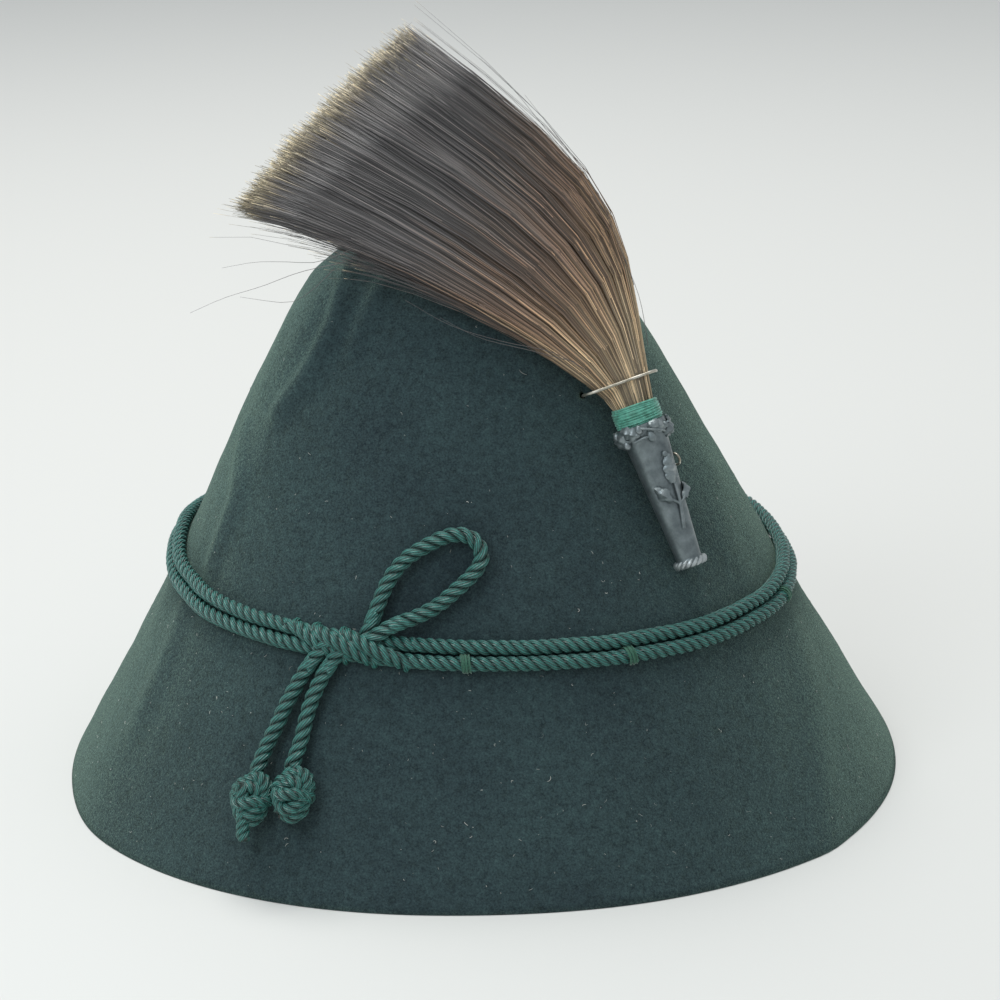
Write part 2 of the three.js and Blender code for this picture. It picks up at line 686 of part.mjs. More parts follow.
function stapleGeometry() {
  const back = new THREE.Vector3(0.1, 0.95, -0.3);
  const turned = stapleRight.clone().addScaledVector(stapleBar, STAPLE_WIRE * 0.8);
  const hook = [0, 0.5, 1].map((t) => turned.clone().addScaledVector(back, 1 + HOOK_LENGTH * t));
  const legStart = stapleLeft.clone().lerp(staplePlace.point, 0.12);
  const bar = [0.08, 0.5, 0.95].map((t) => stapleLeft.clone().lerp(stapleRight, t));
  const leg = clinchedLeg(stapleLeft, staplePlace, staplePlace.up.clone().negate(), STAPLE_WIRE);
  return tube(toPath([...leg.reverse(), legStart, ...bar, ...hook]), STAPLE_WIRE / 2, 6, 20);
}

function drilledFelt() {
  const holes = [legHole(pinHead, pinPlace, PIN_WIRE), legHole(stapleLeft, staplePlace, STAPLE_WIRE)];
  return toGeometry(holes.map(toSolid).reduce((felt, hole) => felt.subtract(hole), toSolid(feltGeometry())));
}

addPiece("holder_pin", pinGeometry(), STEEL, 0.35, 1);

addPiece("cord_turn_upper", turnGeometry(1), CORD_GREEN, 0.6);
addPiece("cord_turn_lower", turnGeometry(-1), CORD_GREEN, 0.6);
addPiece("cord_knot", knotGeometry(), CORD_GREEN, 0.6);
addPiece("bow_loop", tube(routePath(BOW_LOOP_ROUTE), CORD_DIAMETER / 2, 8, 26), CORD_GREEN, 0.6);
addPiece("cord_tail_left", tube(routePath(TAIL_LEFT_ROUTE), CORD_DIAMETER / 2, 8, 10), CORD_GREEN, 0.6);
addPiece("cord_tail_right", tube(routePath(TAIL_RIGHT_ROUTE), CORD_DIAMETER / 2, 8, 10), CORD_GREEN, 0.6);
addPiece("end_knot_left", endKnotGeometry(END_KNOT_LEFT, 8), CORD_GREEN, 0.6);
addPiece("end_knot_right", endKnotGeometry(END_KNOT_RIGHT, -6), CORD_GREEN, 0.6);
addPiece("brush_holder", holderGeometry(), PEWTER, 0.45, 0.9);
addPiece("hair_brush", brushGeometry(), HAIR_BROWN, 0.55);
addPiece("thread_wrap", wrapGeometry(), THREAD_GREEN, 0.5);

addPiece("wire_staple", stapleGeometry(), STEEL, 0.35, 1);
addPiece("felt_body", drilledFelt(), FELT_GREEN, 0.95);

export default hat;
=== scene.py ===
# Tyrolean hat of dark green felt, with a twisted cord, a half bow and a hair brush in a cast holder.
# Metres, Z up. The hem stands on the floor, -X is the front, and -Y is the side with bow and brush.
import math

import bmesh
import bpy
import numpy as np
from mathutils import Matrix, Vector, noise
from mathutils.bvhtree import BVHTree


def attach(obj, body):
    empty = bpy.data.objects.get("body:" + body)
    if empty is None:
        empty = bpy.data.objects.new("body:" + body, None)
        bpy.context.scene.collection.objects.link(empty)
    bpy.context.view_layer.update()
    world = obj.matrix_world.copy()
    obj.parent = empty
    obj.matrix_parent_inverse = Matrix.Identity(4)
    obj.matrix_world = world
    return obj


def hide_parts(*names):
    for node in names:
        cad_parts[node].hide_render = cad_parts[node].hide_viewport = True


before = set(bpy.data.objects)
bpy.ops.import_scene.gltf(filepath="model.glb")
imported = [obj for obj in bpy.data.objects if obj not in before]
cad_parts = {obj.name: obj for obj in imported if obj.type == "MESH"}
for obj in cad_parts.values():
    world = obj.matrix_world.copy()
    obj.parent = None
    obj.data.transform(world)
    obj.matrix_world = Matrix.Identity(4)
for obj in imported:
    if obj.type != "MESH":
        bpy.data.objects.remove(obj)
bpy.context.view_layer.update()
bpy.ops.object.select_all(action="DESELECT")

# Camera: it looks about 18 degrees down at the side with the bow, from 0.8 m in front of the hat.
# A long lens keeps the cone slender, and a slight shift frames it as the photograph does.
look_down = math.radians(18.44)
camera_roll = math.radians(-1.22)
camera_data = bpy.data.cameras.new("camera")
camera = bpy.data.objects.new("camera", camera_data)
bpy.context.collection.objects.link(camera)
ahead = Vector((0, math.cos(look_down), -math.sin(look_down)))
level = Vector((1, 0, 0))
upward = level.cross(ahead)
camera_right = level * math.cos(camera_roll) + upward * math.sin(camera_roll)
camera_up = upward * math.cos(camera_roll) - level * math.sin(camera_roll)
turn = Matrix((camera_right, camera_up, -ahead)).transposed().to_4x4()
camera.matrix_world = Matrix.Translation(Vector((0, 0, 0.095)) - ahead * 0.8) @ turn
camera_data.sensor_width = 36
camera_data.lens = 88.34
camera_data.shift_x = 0.0224
camera_data.shift_y = -0.0262
camera_data.clip_end = 60
bpy.context.scene.camera = camera


# Felt body: one piece of blocked wool felt, crown and brim in one, with a cut and unbound hem.
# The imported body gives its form. It is divided finer, and soft unevenness and the photo's folds are
# pressed in. Each fold has its height and half its width in millimetres, and the line of its crest.
FELT_WAVE = 0.0005
FELT_FOLDS = [
    (2.9, 3.6, [(-36.3, -14.3, 172.2), (-40.5, -25.6, 163), (-42.7, -30.1, 155.7), (-47.8, -32.9, 146.7),
                (-52.7, -34, 138.6), (-61.6, -32.3, 127.3)]),
    (1.5, 3.4, [(-27.4, -27.7, 165.8), (-31.8, -30.9, 160.4), (-38.1, -36.2, 147.8)]),
    (2.2, 3.6, [(-73.9, -16.7, 118.5), (-74.7, -33.6, 105.2), (-77.7, -36.9, 96.5), (-85, -38.6, 79.3)]),
    (1.7, 4.5, [(-94.2, -37.3, 64.2), (-97.9, -42.7, 54.6), (-106.1, -48.4, 38.1), (-109.1, -51.2, 31.3)]),
    (1.0, 7.0, [(74, -24.1, 102.6), (77.2, -41, 84.9), (86.1, -41.5, 69.2)]),
    (1.2, 8.0, [(101.3, -36.4, 51.6), (104, -53.9, 36.1), (104.7, -66.6, 22.7), (103.6, -84.1, 6)]),
]


def new_material(name):
    """A material with its Principled shader, and a function that adds a node and sets its sockets."""
    material = bpy.data.materials.new(name)
    material.use_nodes = True
    tree = material.node_tree

    def add(kind, **values):
        node = tree.nodes.new("ShaderNode" + kind)
        for key, value in values.items():
            if hasattr(node, key):
                setattr(node, key, value)
            else:
                node.inputs[key.replace("_", " ").title()].default_value = value
        return node

    return material, tree.nodes["Principled BSDF"], add, tree.links.new


def ramp(add, stops, interpolation="LINEAR"):
    """A colour ramp with a stop at each place."""
    node = add("ValToRGB")
    node.color_ramp.interpolation = interpolation
    while len(node.color_ramp.elements) < len(stops):
        node.color_ramp.elements.new(0.5)
    for element, (place, colour) in zip(node.color_ramp.elements, stops):
        element.position = place
        element.color = (*colour, 1)
    return node


def felt_finish():
    material, surface, add, link = new_material("green_wool_felt")
    place = add("TexCoord")
    patches = add("TexNoise", scale=26, detail=3, roughness=0.55)
    mottling = add("TexNoise", scale=420, detail=4, roughness=0.65)
    fibres = add("TexNoise", scale=1700, detail=4, roughness=0.75)
    for pattern in (patches, mottling, fibres):
        link(place.outputs["Object"], pattern.inputs["Vector"])
    ground = ramp(add, [(0.3, (0.022, 0.038, 0.05)), (0.7, (0.03, 0.053, 0.064))])
    link(patches.outputs["Fac"], ground.inputs["Fac"])
    nap = ramp(add, [(0.3, (0.7, 0.7, 0.7)), (0.5, (1, 1, 1)), (0.72, (1.35, 1.4, 1.3))])
    link(mottling.outputs["Fac"], nap.inputs["Fac"])
    grain = ramp(add, [(0.35, (0.65, 0.65, 0.65)), (0.7, (1.5, 1.5, 1.4))])
    link(fibres.outputs["Fac"], grain.inputs["Fac"])
    tone = add("Mix", data_type="RGBA", blend_type="MULTIPLY")
    tone.inputs[0].default_value = 1
    link(ground.outputs["Color"], tone.inputs[6])
    link(nap.outputs["Color"], tone.inputs[7])
    finish = add("Mix", data_type="RGBA", blend_type="MULTIPLY")
    finish.inputs[0].default_value = 1
    link(tone.outputs[2], finish.inputs[6])
    link(grain.outputs["Color"], finish.inputs[7])
    link(finish.outputs[2], surface.inputs["Base Color"])
    fuzz = ramp(add, [(0.38, (0.16, 0.16, 0.16)), (0.66, (0.8, 0.8, 0.8))])
    link(fibres.outputs["Fac"], fuzz.inputs["Fac"])
    link(fuzz.outputs["Color"], surface.inputs["Sheen Weight"])
    height = add("Math", operation="ADD")
    link(mottling.outputs["Fac"], height.inputs[0])
    link(fibres.outputs["Fac"], height.inputs[1])
    bump = add("Bump", strength=0.75, distance=0.0005)
    link(height.outputs[0], bump.inputs["Height"])
    link(bump.outputs["Normal"], surface.inputs["Normal"])
    surface.inputs["Roughness"].default_value = 0.95
    surface.inputs["Specular IOR Level"].default_value = 0.15
    surface.inputs["Sheen Roughness"].default_value = 0.55
    surface.inputs["Sheen Tint"].default_value = (0.44, 0.66, 0.5, 1)
    return material


def copy_of(node_name, piece_name):
    """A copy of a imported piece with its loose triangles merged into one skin, ready to be worked on."""
    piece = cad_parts[node_name].copy()
    piece.data = piece.data.copy()
    piece.name = piece_name
    piece.parent = None
    piece.matrix_world = Matrix.Identity(4)
    bpy.context.collection.objects.link(piece)
    bpy.ops.object.select_all(action="DESELECT")
    piece.select_set(True)
    bpy.context.view_layer.objects.active = piece
    bpy.ops.object.mode_set(mode="EDIT")
    bpy.ops.mesh.select_all(action="SELECT")
    bpy.ops.mesh.remove_doubles(threshold=0.00002)
    bpy.ops.mesh.tris_convert_to_quads(face_threshold=0.8, shape_threshold=0.8)
    bpy.ops.object.mode_set(mode="OBJECT")
    return piece


def divide(piece, levels):
    """Divides a piece smoothly and keeps the result in its mesh."""
    bpy.context.view_layer.objects.active = piece
    finer = piece.modifiers.new("finer", "SUBSURF")
    finer.levels = levels
    finer.render_levels = levels
    bpy.ops.object.modifier_apply(modifier=finer.name)
    bpy.ops.object.select_all(action="DESELECT")
    piece.select_set(True)
    bpy.ops.object.shade_smooth()


def dress(piece, material, slot, *nodes):
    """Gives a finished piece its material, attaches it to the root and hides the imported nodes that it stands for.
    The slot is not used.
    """
    piece.data.materials.clear()
    piece.data.materials.append(material)
    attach(piece, "root")
    if nodes:
        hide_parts(*nodes)


felt = copy_of("felt_body", "hat_felt")
hem_marks = bmesh.new()
hem_marks.from_mesh(felt.data)
crease = hem_marks.edges.layers.float.new("crease_edge")
for edge in hem_marks.edges:
    if all(corner.co.z < 0.0003 for corner in edge.verts) and len(edge.link_faces) == 2:
        if any(abs(face.normal.z) < 0.9 for face in edge.link_faces):
            edge[crease] = 0.75
hem_marks.to_mesh(felt.data)
hem_marks.free()
divide(felt, 2)
felt_places = []
for corner in felt.data.vertices:
    spot = corner.co.copy()
    wave = noise.noise(spot * 55) + 0.5 * noise.noise(spot * 130 + Vector((7, 3, 1)))
    spot += corner.normal * wave * FELT_WAVE * min(max(spot.z / 0.01, 0), 1)
    felt_places += [spot.x, spot.y, max(spot.z, 0)]
felt_places = np.array(felt_places).reshape(-1, 3)
outward = felt_places * [1, 1, 0.25]
outward /= np.linalg.norm(outward, axis=1, keepdims=True) + 1e-9
for fold_height, fold_width, crest in FELT_FOLDS:
    crest = np.array(crest) / 1000
    nearest = np.full(len(felt_places), 9.0)
    for low, high in zip(crest, crest[1:]):
        share = np.clip((felt_places - low) @ (high - low) / ((high - low) @ (high - low)), 0, 1)
        away = np.linalg.norm(felt_places - low - share[:, None] * (high - low), axis=1)
        nearest = np.minimum(nearest, away * 1000 / fold_width)
    lift = fold_height * (np.exp(-nearest**2) - 0.4 * np.exp(-(nearest / 2.6) ** 2)) / 1000
    felt_places += outward * lift[:, None]
felt_places = felt_places.ravel()
felt.data.vertices.foreach_set("co", felt_places)
felt.data.update()
dress(felt, felt_finish(), "felt", "felt_body")
felt_skin = BVHTree.FromPolygons(
    [corner.co.copy() for corner in felt.data.vertices],
    [tuple(face.vertices) for face in felt.data.polygons],
)


# Twisted cord: three plies of glossy green rayon laid up to the right. Two turns lie round the crown.
# Each ply is swept along its own helix, and a few thread tacks hold the turns to the felt.
BAND_CORD = 0.0047
BAND_LAY = 0.0092
KNOT_LEFT = math.radians(-128.5)
KNOT_RIGHT = math.radians(-103)


def even_line(points, step):
    """Points at even steps on a smooth curve through the given ones."""
    points = np.asarray(points, float)
    padded = np.vstack([2 * points[0] - points[1], points, 2 * points[-1] - points[-2]])
    t = np.arange(0, 1, 1 / 16)[:, None]
    pieces = []
    for a, b, c, d in zip(padded, padded[1:], padded[2:], padded[3:]):
        curve = 2 * b + (c - a) * t + (2 * a - 5 * b + 4 * c - d) * t**2
        pieces.append(0.5 * (curve + (3 * b - a - 3 * c + d) * t**3))
    fine = np.vstack(pieces + [points[-1:]])
    travel = np.concatenate([[0], np.cumsum(np.linalg.norm(np.diff(fine, axis=0), axis=1))])
    count = max(4, round(travel[-1] / step))
    at = np.linspace(0, travel[-1], count + 1)
    return np.stack([np.interp(at, travel, fine[:, k]) for k in range(3)], 1)


def carried_frames(lines):
    """Unit vectors ahead, to one side and to the other at every point of each line, without twist."""
    along = np.gradient(lines, axis=1)
    along /= np.linalg.norm(along, axis=2, keepdims=True) + 1e-12
    side = np.cross(along[:, 0], [0.31, 0.2, 0.93])
    sides = []
    for k in range(lines.shape[1]):
        side = side - along[:, k] * (side * along[:, k]).sum(1, keepdims=True)
        side /= np.linalg.norm(side, axis=1, keepdims=True) + 1e-12
        sides.append(side)
    sides = np.stack(sides, 1)
    return along, sides, np.cross(along, sides)


def sweep(batch, lines, radii, corners, mark=None, span=(0.0, 1.0)):
    """Adds round strands along the lines to a batch: one ring at each point and a cap at each end.

    With a mark for each strand, u runs over the span along it and v is the mark. Without, u is in metres.
    """
    lines = np.asarray(lines, float)
    strands, steps, _ = lines.shape
    radii = np.broadcast_to(radii, (strands, steps))
    along, side, other = carried_frames(lines)
    around = 2 * np.pi * np.arange(corners) / corners
    rings = lines[:, :, None] + radii[:, :, None, None] * (
        np.cos(around)[:, None] * side[:, :, None] + np.sin(around)[:, None] * other[:, :, None]
    )
    base = sum(len(part[0]) for part in batch)
    index = base + np.arange(strands * steps * corners).reshape(strands, steps, corners)
    next_index = np.roll(index, -1, axis=2)
    quads = np.stack(
        [index[:, :-1], next_index[:, :-1], next_index[:, 1:], index[:, 1:]], axis=-1
    ).reshape(-1, 4)
    travel = np.zeros((strands, steps))
    travel[:, 1:] = np.cumsum(np.linalg.norm(np.diff(lines, axis=1), axis=2), axis=1)
    if mark is not None:
        travel = span[0] + (span[1] - span[0]) * travel / travel[:, -1:]
    low_u = np.broadcast_to(travel[:, :-1, None], (strands, steps - 1, corners))
    high_u = np.broadcast_to(travel[:, 1:, None], (strands, steps - 1, corners))
    if mark is None:
        left_v = np.broadcast_to(np.arange(corners) / corners, low_u.shape)
        right_v = left_v + 1 / corners
    else:
        left_v = right_v = np.broadcast_to(np.asarray(mark)[:, None, None], low_u.shape)
    corners_uv = [(low_u, left_v), (low_u, right_v), (high_u, right_v), (high_u, left_v)]
    uv = np.stack([np.stack(pair, -1) for pair in corners_uv], -2).reshape(-1, 2)
    caps = np.concatenate([index[:, 0, ::-1], index[:, -1]])
    cap_u = np.concatenate([travel[:, 0], travel[:, -1]])
    cap_v = np.full(2 * strands, 0.5) if mark is None else np.concatenate([mark, mark])
    cap_uv = np.repeat(np.stack([cap_u, cap_v], -1), corners, axis=0)
    batch.append((rings.reshape(-1, 3), quads, uv, caps, cap_uv))


def batch_piece(name, batch):
    """Makes one mesh of a batch of strands."""
    points = np.vstack([part[0] for part in batch])
    faces, uv, sizes = [], [], []
    for _, quads, quad_uv, caps, cap_uv, *_ in batch:
        faces += [quads.ravel(), caps.ravel()]
        uv += [quad_uv, cap_uv]
        sizes += [np.full(len(quads), 4), np.full(len(caps), caps.shape[1])]
    faces, uv, sizes = np.concatenate(faces), np.vstack(uv), np.concatenate(sizes)
    mesh = bpy.data.meshes.new(name)
    mesh.vertices.add(len(points))
    mesh.vertices.foreach_set("co", points.ravel())
    mesh.loops.add(len(faces))
    mesh.loops.foreach_set("vertex_index", faces.astype(np.int32))
    mesh.polygons.add(len(sizes))
    starts = np.concatenate([[0], np.cumsum(sizes)[:-1]])
    mesh.polygons.foreach_set("loop_start", starts.astype(np.int32))
    mesh.polygons.foreach_set("use_smooth", np.ones(len(sizes), bool))
    layer = mesh.uv_layers.new(name="strand")
    layer.data.foreach_set("uv", uv.ravel())
    mesh.update(calc_edges=True)
    if all(len(part) == 6 for part in batch):
        rise = mesh.attributes.new("rise", "FLOAT", "POINT")
        rise.data.foreach_set("value", np.concatenate([part[5] for part in batch]).astype(np.float32))
    mesh.validate()
    piece = bpy.data.objects.new(name, mesh)
    bpy.context.collection.objects.link(piece)
    return piece


def lay_cord(batch, line, cord, lay, corners=10, phase=0.0):
    """Adds a laid cord along a line: three plies that turn round each other once in each lay.

    Each point keeps its rise, its share of the cord's radius, so that painted shade can darken the grooves and a
    painted highlight can lighten the crests.
    """
    along, side, other = carried_frames(line[None])
    travel = np.concatenate([[0], np.cumsum(np.linalg.norm(np.diff(line, axis=0), axis=1))])
    plies = []
    for ply in range(3):
        angle = (2 * np.pi * (travel / lay + ply / 3) + phase)[:, None]
        plies.append(line + 0.262 * cord * (np.cos(angle) * side[0] + np.sin(angle) * other[0]))
    sweep(batch, plies, 0.236 * cord, corners)
    skin = batch[-1][0].reshape(3, len(line), corners, 3)
    rise = np.linalg.norm(skin - line[None, :, None], axis=3) / (0.498 * cord)
    batch[-1] = (*batch[-1], rise.ravel())


def on_felt(angle, height, lift):
    """The place at a plan angle and height that is lifted off the felt, and the felt's outward normal."""
    centre = Vector((-0.008 * (height / 0.188) ** 1.8, 0, height))
    outward = Vector((math.cos(angle), math.sin(angle), 0))
    spot, normal, _, _ = felt_skin.ray_cast(centre + outward * 0.2, -outward)
    return spot + normal * lift, normal


def band_height(angle):
    """Height of the middle between the two turns at a plan angle."""
    from_front = math.atan2(math.sin(angle), -math.cos(angle)) / math.radians(16)
    tilt = 0.003 * math.sin(angle) - 0.0032 * math.cos(angle)
    return 0.0689 + tilt + 0.004 * math.exp(-from_front * from_front)


def band_line(start, end, side, lift=0.0, stops=90):
    """A line round the felt beside the middle of the band, side 1 above it and -1 below it."""
    points = []
    for k in range(stops + 1):
        angle = start + (end - start) * k / stops
        offset = side * (BAND_CORD / 2 + 0.00005) * 0.88
        points.append(on_felt(angle, band_height(angle) + offset, BAND_CORD / 2 + 0.0001 + lift)[0])
    return points


def cord_finish():
    material, surface, add, link = new_material("green_rayon_cord")
    strand = add("UVMap")
    split = add("SeparateXYZ")
    link(strand.outputs["UV"], split.inputs[0])
    slant = add("Math", operation="MULTIPLY")
    slant.inputs[1].default_value = 260
    link(split.outputs["X"], slant.inputs[0])
    turns = add("Math", operation="MULTIPLY_ADD")
    turns.inputs[1].default_value = 9
    link(split.outputs["Y"], turns.inputs[0])
    link(slant.outputs[0], turns.inputs[2])
    full = add("Math", operation="MULTIPLY")
    full.inputs[1].default_value = 2 * math.pi
    link(turns.outputs[0], full.inputs[0])
    threads = add("Math", operation="SINE")
    link(full.outputs[0], threads.inputs[0])
    place = add("TexCoord")
    wear = add("TexNoise", scale=900, detail=3, roughness=0.6)
    link(place.outputs["Object"], wear.inputs["Vector"])
    colour = ramp(add, [(0.3, (0.012, 0.062, 0.055)), (0.75, (0.03, 0.13, 0.112))])
    link(wear.outputs["Fac"], colour.inputs["Fac"])
    # Painted shade and highlight: the rise darkens the grooves between the plies to painted shade and lightens the
    # ply crests to a painted highlight.
    rise = add("Attribute", attribute_name="rise")
    depth = ramp(
        add,
        [
            (0.5, (0.06, 0.07, 0.07)), (0.78, (0.35, 0.38, 0.38)),
            (0.93, (1.15, 1.2, 1.2)), (1, (1.6, 1.75, 1.75)),
        ],
    )
    link(rise.outputs["Fac"], depth.inputs["Fac"])
    # The thread lines are painted light: the sine lightens each thread to a painted highlight and darkens the gaps
    # between threads to painted shade.
    thread_highlight_and_shade = ramp(add, [(0.0, (0.55, 0.55, 0.55)), (0.6, (1, 1, 1)), (1.0, (1.7, 1.7, 1.7))])
    thread_share = add("Math", operation="MULTIPLY_ADD")
    thread_share.inputs[1].default_value = 0.5
    thread_share.inputs[2].default_value = 0.5
    link(threads.outputs[0], thread_share.inputs[0])
    link(thread_share.outputs[0], thread_highlight_and_shade.inputs["Fac"])
    shaded = add("Mix", data_type="RGBA", blend_type="MULTIPLY")
    shaded.inputs[0].default_value = 1
    link(colour.outputs["Color"], shaded.inputs[6])
    link(depth.outputs["Color"], shaded.inputs[7])
    lined = add("Mix", data_type="RGBA", blend_type="MULTIPLY")
    lined.inputs[0].default_value = 1
    link(shaded.outputs[2], lined.inputs[6])
    link(thread_highlight_and_shade.outputs["Color"], lined.inputs[7])
    link(lined.outputs[2], surface.inputs["Base Color"])
    both = add("Math", operation="MULTIPLY_ADD")
    both.inputs[1].default_value = 0.6
    link(threads.outputs[0], both.inputs[0])
    link(wear.outputs["Fac"], both.inputs[2])
    bump = add("Bump", strength=1.0, distance=0.00022)
    link(both.outputs[0], bump.inputs["Height"])
    link(bump.outputs["Normal"], surface.inputs["Normal"])
    surface.inputs["Roughness"].default_value = 0.34
    surface.inputs["Specular IOR Level"].default_value = 0.7
    surface.inputs["Sheen Weight"].default_value = 0.12
    surface.inputs["Sheen Roughness"].default_value = 0.4
    surface.inputs["Sheen Tint"].default_value = (0.55, 0.9, 0.8, 1)
    return material


green_cord = cord_finish()
for turn_name, side in (("cord_turn_upper", 1), ("cord_turn_lower", -1)):
    batch = []
    line = even_line(band_line(KNOT_RIGHT, KNOT_LEFT + 2 * math.pi, side, stops=140), 0.00082)
    lay_cord(batch, line, BAND_CORD, BAND_LAY, phase=side)
    turn_piece = batch_piece("twisted_" + turn_name, batch)
    dress(turn_piece, green_cord, "cord", turn_name)

# Half bow: the cord's ends cross over the band in three slanting wraps, and one loop stands above it.
# Two ends hang from the knot, each tied off in a tight ball. Short stubs carry loop and ends into the knot.
FREE_CORD = 0.0048
FREE_LAY = 0.0106
LOOP_ROUTE = [
    (-32.7, -79.9, 74.9), (-31.3, -78.4, 78.3), (-29.9, -76.9, 81.6), (-28.3, -75.4, 84.9),
    (-26.4, -74.1, 88), (-24, -73, 90.9), (-21.1, -72.1, 93.4), (-17.8, -71.5, 95.4),
    (-14.3, -70.9, 97.1), (-10.7, -70.3, 98.6), (-6.9, -70.1, 99.4), (-3, -70.4, 98.8),
    (-0.2, -71.6, 96.5), (0.7, -73.4, 93.1), (-0.9, -75, 90), (-3.6, -76.4, 87.4),
    (-6.5, -77.5, 85.1), (-9.5, -78.7, 82.8), (-12.6, -79.6, 80.6), (-16, -80.7, 79),
    (-19.6, -81.8, 77.7), (-23.3, -82.5, 76.7), (-26.9, -83.1, 75.4),
]
LEFT_TAIL_ROUTE = [
    (-50.1, -80.5, 64.6), (-52.4, -81.3, 61.6), (-54.6, -82.3, 58.6), (-56.5, -83.3, 55.4),
    (-58.4, -84.5, 52.3), (-60.1, -85.7, 49), (-61.7, -87, 45.8), (-63.5, -88.3, 42.6),
    (-65.2, -89.5, 39.4), (-66.6, -91.6, 36.5), (-67.9, -93.8, 33.6),
]
RIGHT_TAIL_ROUTE = [
    (-44.6, -82.6, 64.4), (-46.6, -83.4, 61.8), (-48.3, -84.4, 59), (-49.8, -85.6, 56.2),
    (-51.1, -86.8, 53.3), (-52.1, -88.2, 50.4), (-53, -89.7, 47.5), (-53.8, -91.1, 44.5),
    (-54.8, -92.6, 41.6), (-55.9, -94.6, 39.1), (-57.1, -96.5, 36.6),
]
WRAPS = [(0.02, 0.5, 0.4), (0.2, 0.72, 0.75), (0.42, 0.98, 0.7)]
KNOT_STUBS = [
    [(-31.3, -78.4, 78.3), (-32.7, -79.9, 74.9), (-34.4, -81.6, 71.6), (-36, -82.6, 68.4)],
    [(-23.3, -82.5, 76.7), (-26.9, -83.1, 75.4), (-30.4, -83.6, 73.4), (-34, -83.6, 70.4)],
    [(-52.4, -81.3, 61.6), (-50.1, -80.5, 64.6), (-47.6, -80.3, 67.8), (-45.4, -80.4, 70.6)],
    [(-46.6, -83.4, 61.8), (-44.6, -82.6, 64.4), (-42.6, -82, 67.2), (-40.6, -81.8, 70)],
]



def metres(route):
    """A route that is given in millimetres."""
    return [tuple(value / 1000 for value in point) for point in route]


batch = []
for side in (1, -1):
    line = even_line(band_line(KNOT_LEFT - 0.01, KNOT_RIGHT + 0.01, side, stops=12), 0.0008)
    lay_cord(batch, line, BAND_CORD, BAND_LAY)
for start, end, rise in WRAPS:
    points = []
    for k in range(9):
        t = k / 8
        angle = KNOT_LEFT + (KNOT_RIGHT - KNOT_LEFT) * (start + (end - start) * t)
        across = 1.5 - 3.0 * t
        height = band_height(angle) + across * BAND_CORD / 2 * 0.88
        lift = BAND_CORD * (0.05 + (0.45 + rise) * math.sin(math.pi * t) ** 0.6)
        points.append(on_felt(angle, height, lift)[0])
    lay_cord(batch, even_line(points, 0.0007), FREE_CORD, BAND_LAY)
for stub in KNOT_STUBS:
    lay_cord(batch, even_line(metres(stub), 0.0007), FREE_CORD, FREE_LAY)
knot = batch_piece("half_bow_knot", batch)
dress(knot, green_cord, "cord", "cord_knot")


def ball_knot(name, node_name, route_end, angle, height, wraps, tip):
    """Ties a ball at a cord's end: turns of the cord that cross as on a ball of yarn."""
    spot, out = on_felt(math.radians(angle), height, 0.0062)
    down = Vector((0, 0, -1)) - out * out.dot(Vector((0, 0, -1)))
    down.normalize()
    across = down.cross(out)
    points = [np.array(route_end)]
    for k in range(90):
        t = k / 89
        swing = 2 * math.pi * wraps * t
        tilt = math.radians(-80 + 185 * t)
        ring = Vector((math.cos(swing), math.sin(swing) * math.cos(tilt), math.sin(swing) * math.sin(tilt)))
        reach = min(0.45 + 1.5 * t, 0.88) + 0.12 * math.sin(3.1 * swing + 0.7)
        shape = across * ring.x * 0.0051 + down * ring.y * 0.0073 + out * ring.z * 0.0041
        points.append(np.array(spot + shape * reach))
    points.append(np.array(spot + tip[0] * across + tip[1] * down + tip[2] * out))
    batch = []
    lay_cord(batch, even_line(points, 0.0006), 0.0042, 0.0066, corners=9)
    ball = batch_piece(name, batch)
    dress(ball, green_cord, "cord", node_name)
    return ball


left_ball = ball_knot(
    "ball_knot_left", "end_knot_left", metres(LEFT_TAIL_ROUTE)[-1], -125.5, 0.0247, 5.2, (-0.001, 0.0125, 0.001)
)
right_ball = ball_knot(
    "ball_knot_right", "end_knot_right", metres(RIGHT_TAIL_ROUTE)[-1], -119.3, 0.0276, 4.8, (0.002, 0.0065, 0.002)
)
for piece_name, node_name, route, far_end, ball in (
    ("bow_loop_cord", "bow_loop", LOOP_ROUTE, "object", None),
    ("hanging_end_left", "cord_tail_left", LEFT_TAIL_ROUTE, "knot", left_ball),
    ("hanging_end_right", "cord_tail_right", RIGHT_TAIL_ROUTE, "knot", right_ball),
):
    line = even_line(metres(route), 0.0007)
    batch = []
    lay_cord(batch, line, FREE_CORD, FREE_LAY)
    free_cord = batch_piece(piece_name, batch)
    dress(free_cord, green_cord, "cord", node_name)
    length = float(np.linalg.norm(np.diff(line, axis=0), axis=1).sum())

# Thread tacks: a few stitches of thin pale green thread that catch the lower turn to the felt.
# Each is a small bundle of loops round the cord, with loose fuzzy ends.
TACK_ANGLES = [-92.4, -60.6, -20, 25, 70, 112, 155]


def tack_finish():
    material, surface, add, link = new_material("pale_green_thread")
    place = add("TexCoord")
    shade = add("TexNoise", scale=2200, detail=2)
    link(place.outputs["Object"], shade.inputs["Vector"])
    colour = ramp(add, [(0.3, (0.012, 0.085, 0.05)), (0.7, (0.035, 0.17, 0.105))])
    link(shade.outputs["Fac"], colour.inputs["Fac"])
    link(colour.outputs["Color"], surface.inputs["Base Color"])
    surface.inputs["Roughness"].default_value = 0.6
    surface.inputs["Sheen Weight"].default_value = 0.3
    return material


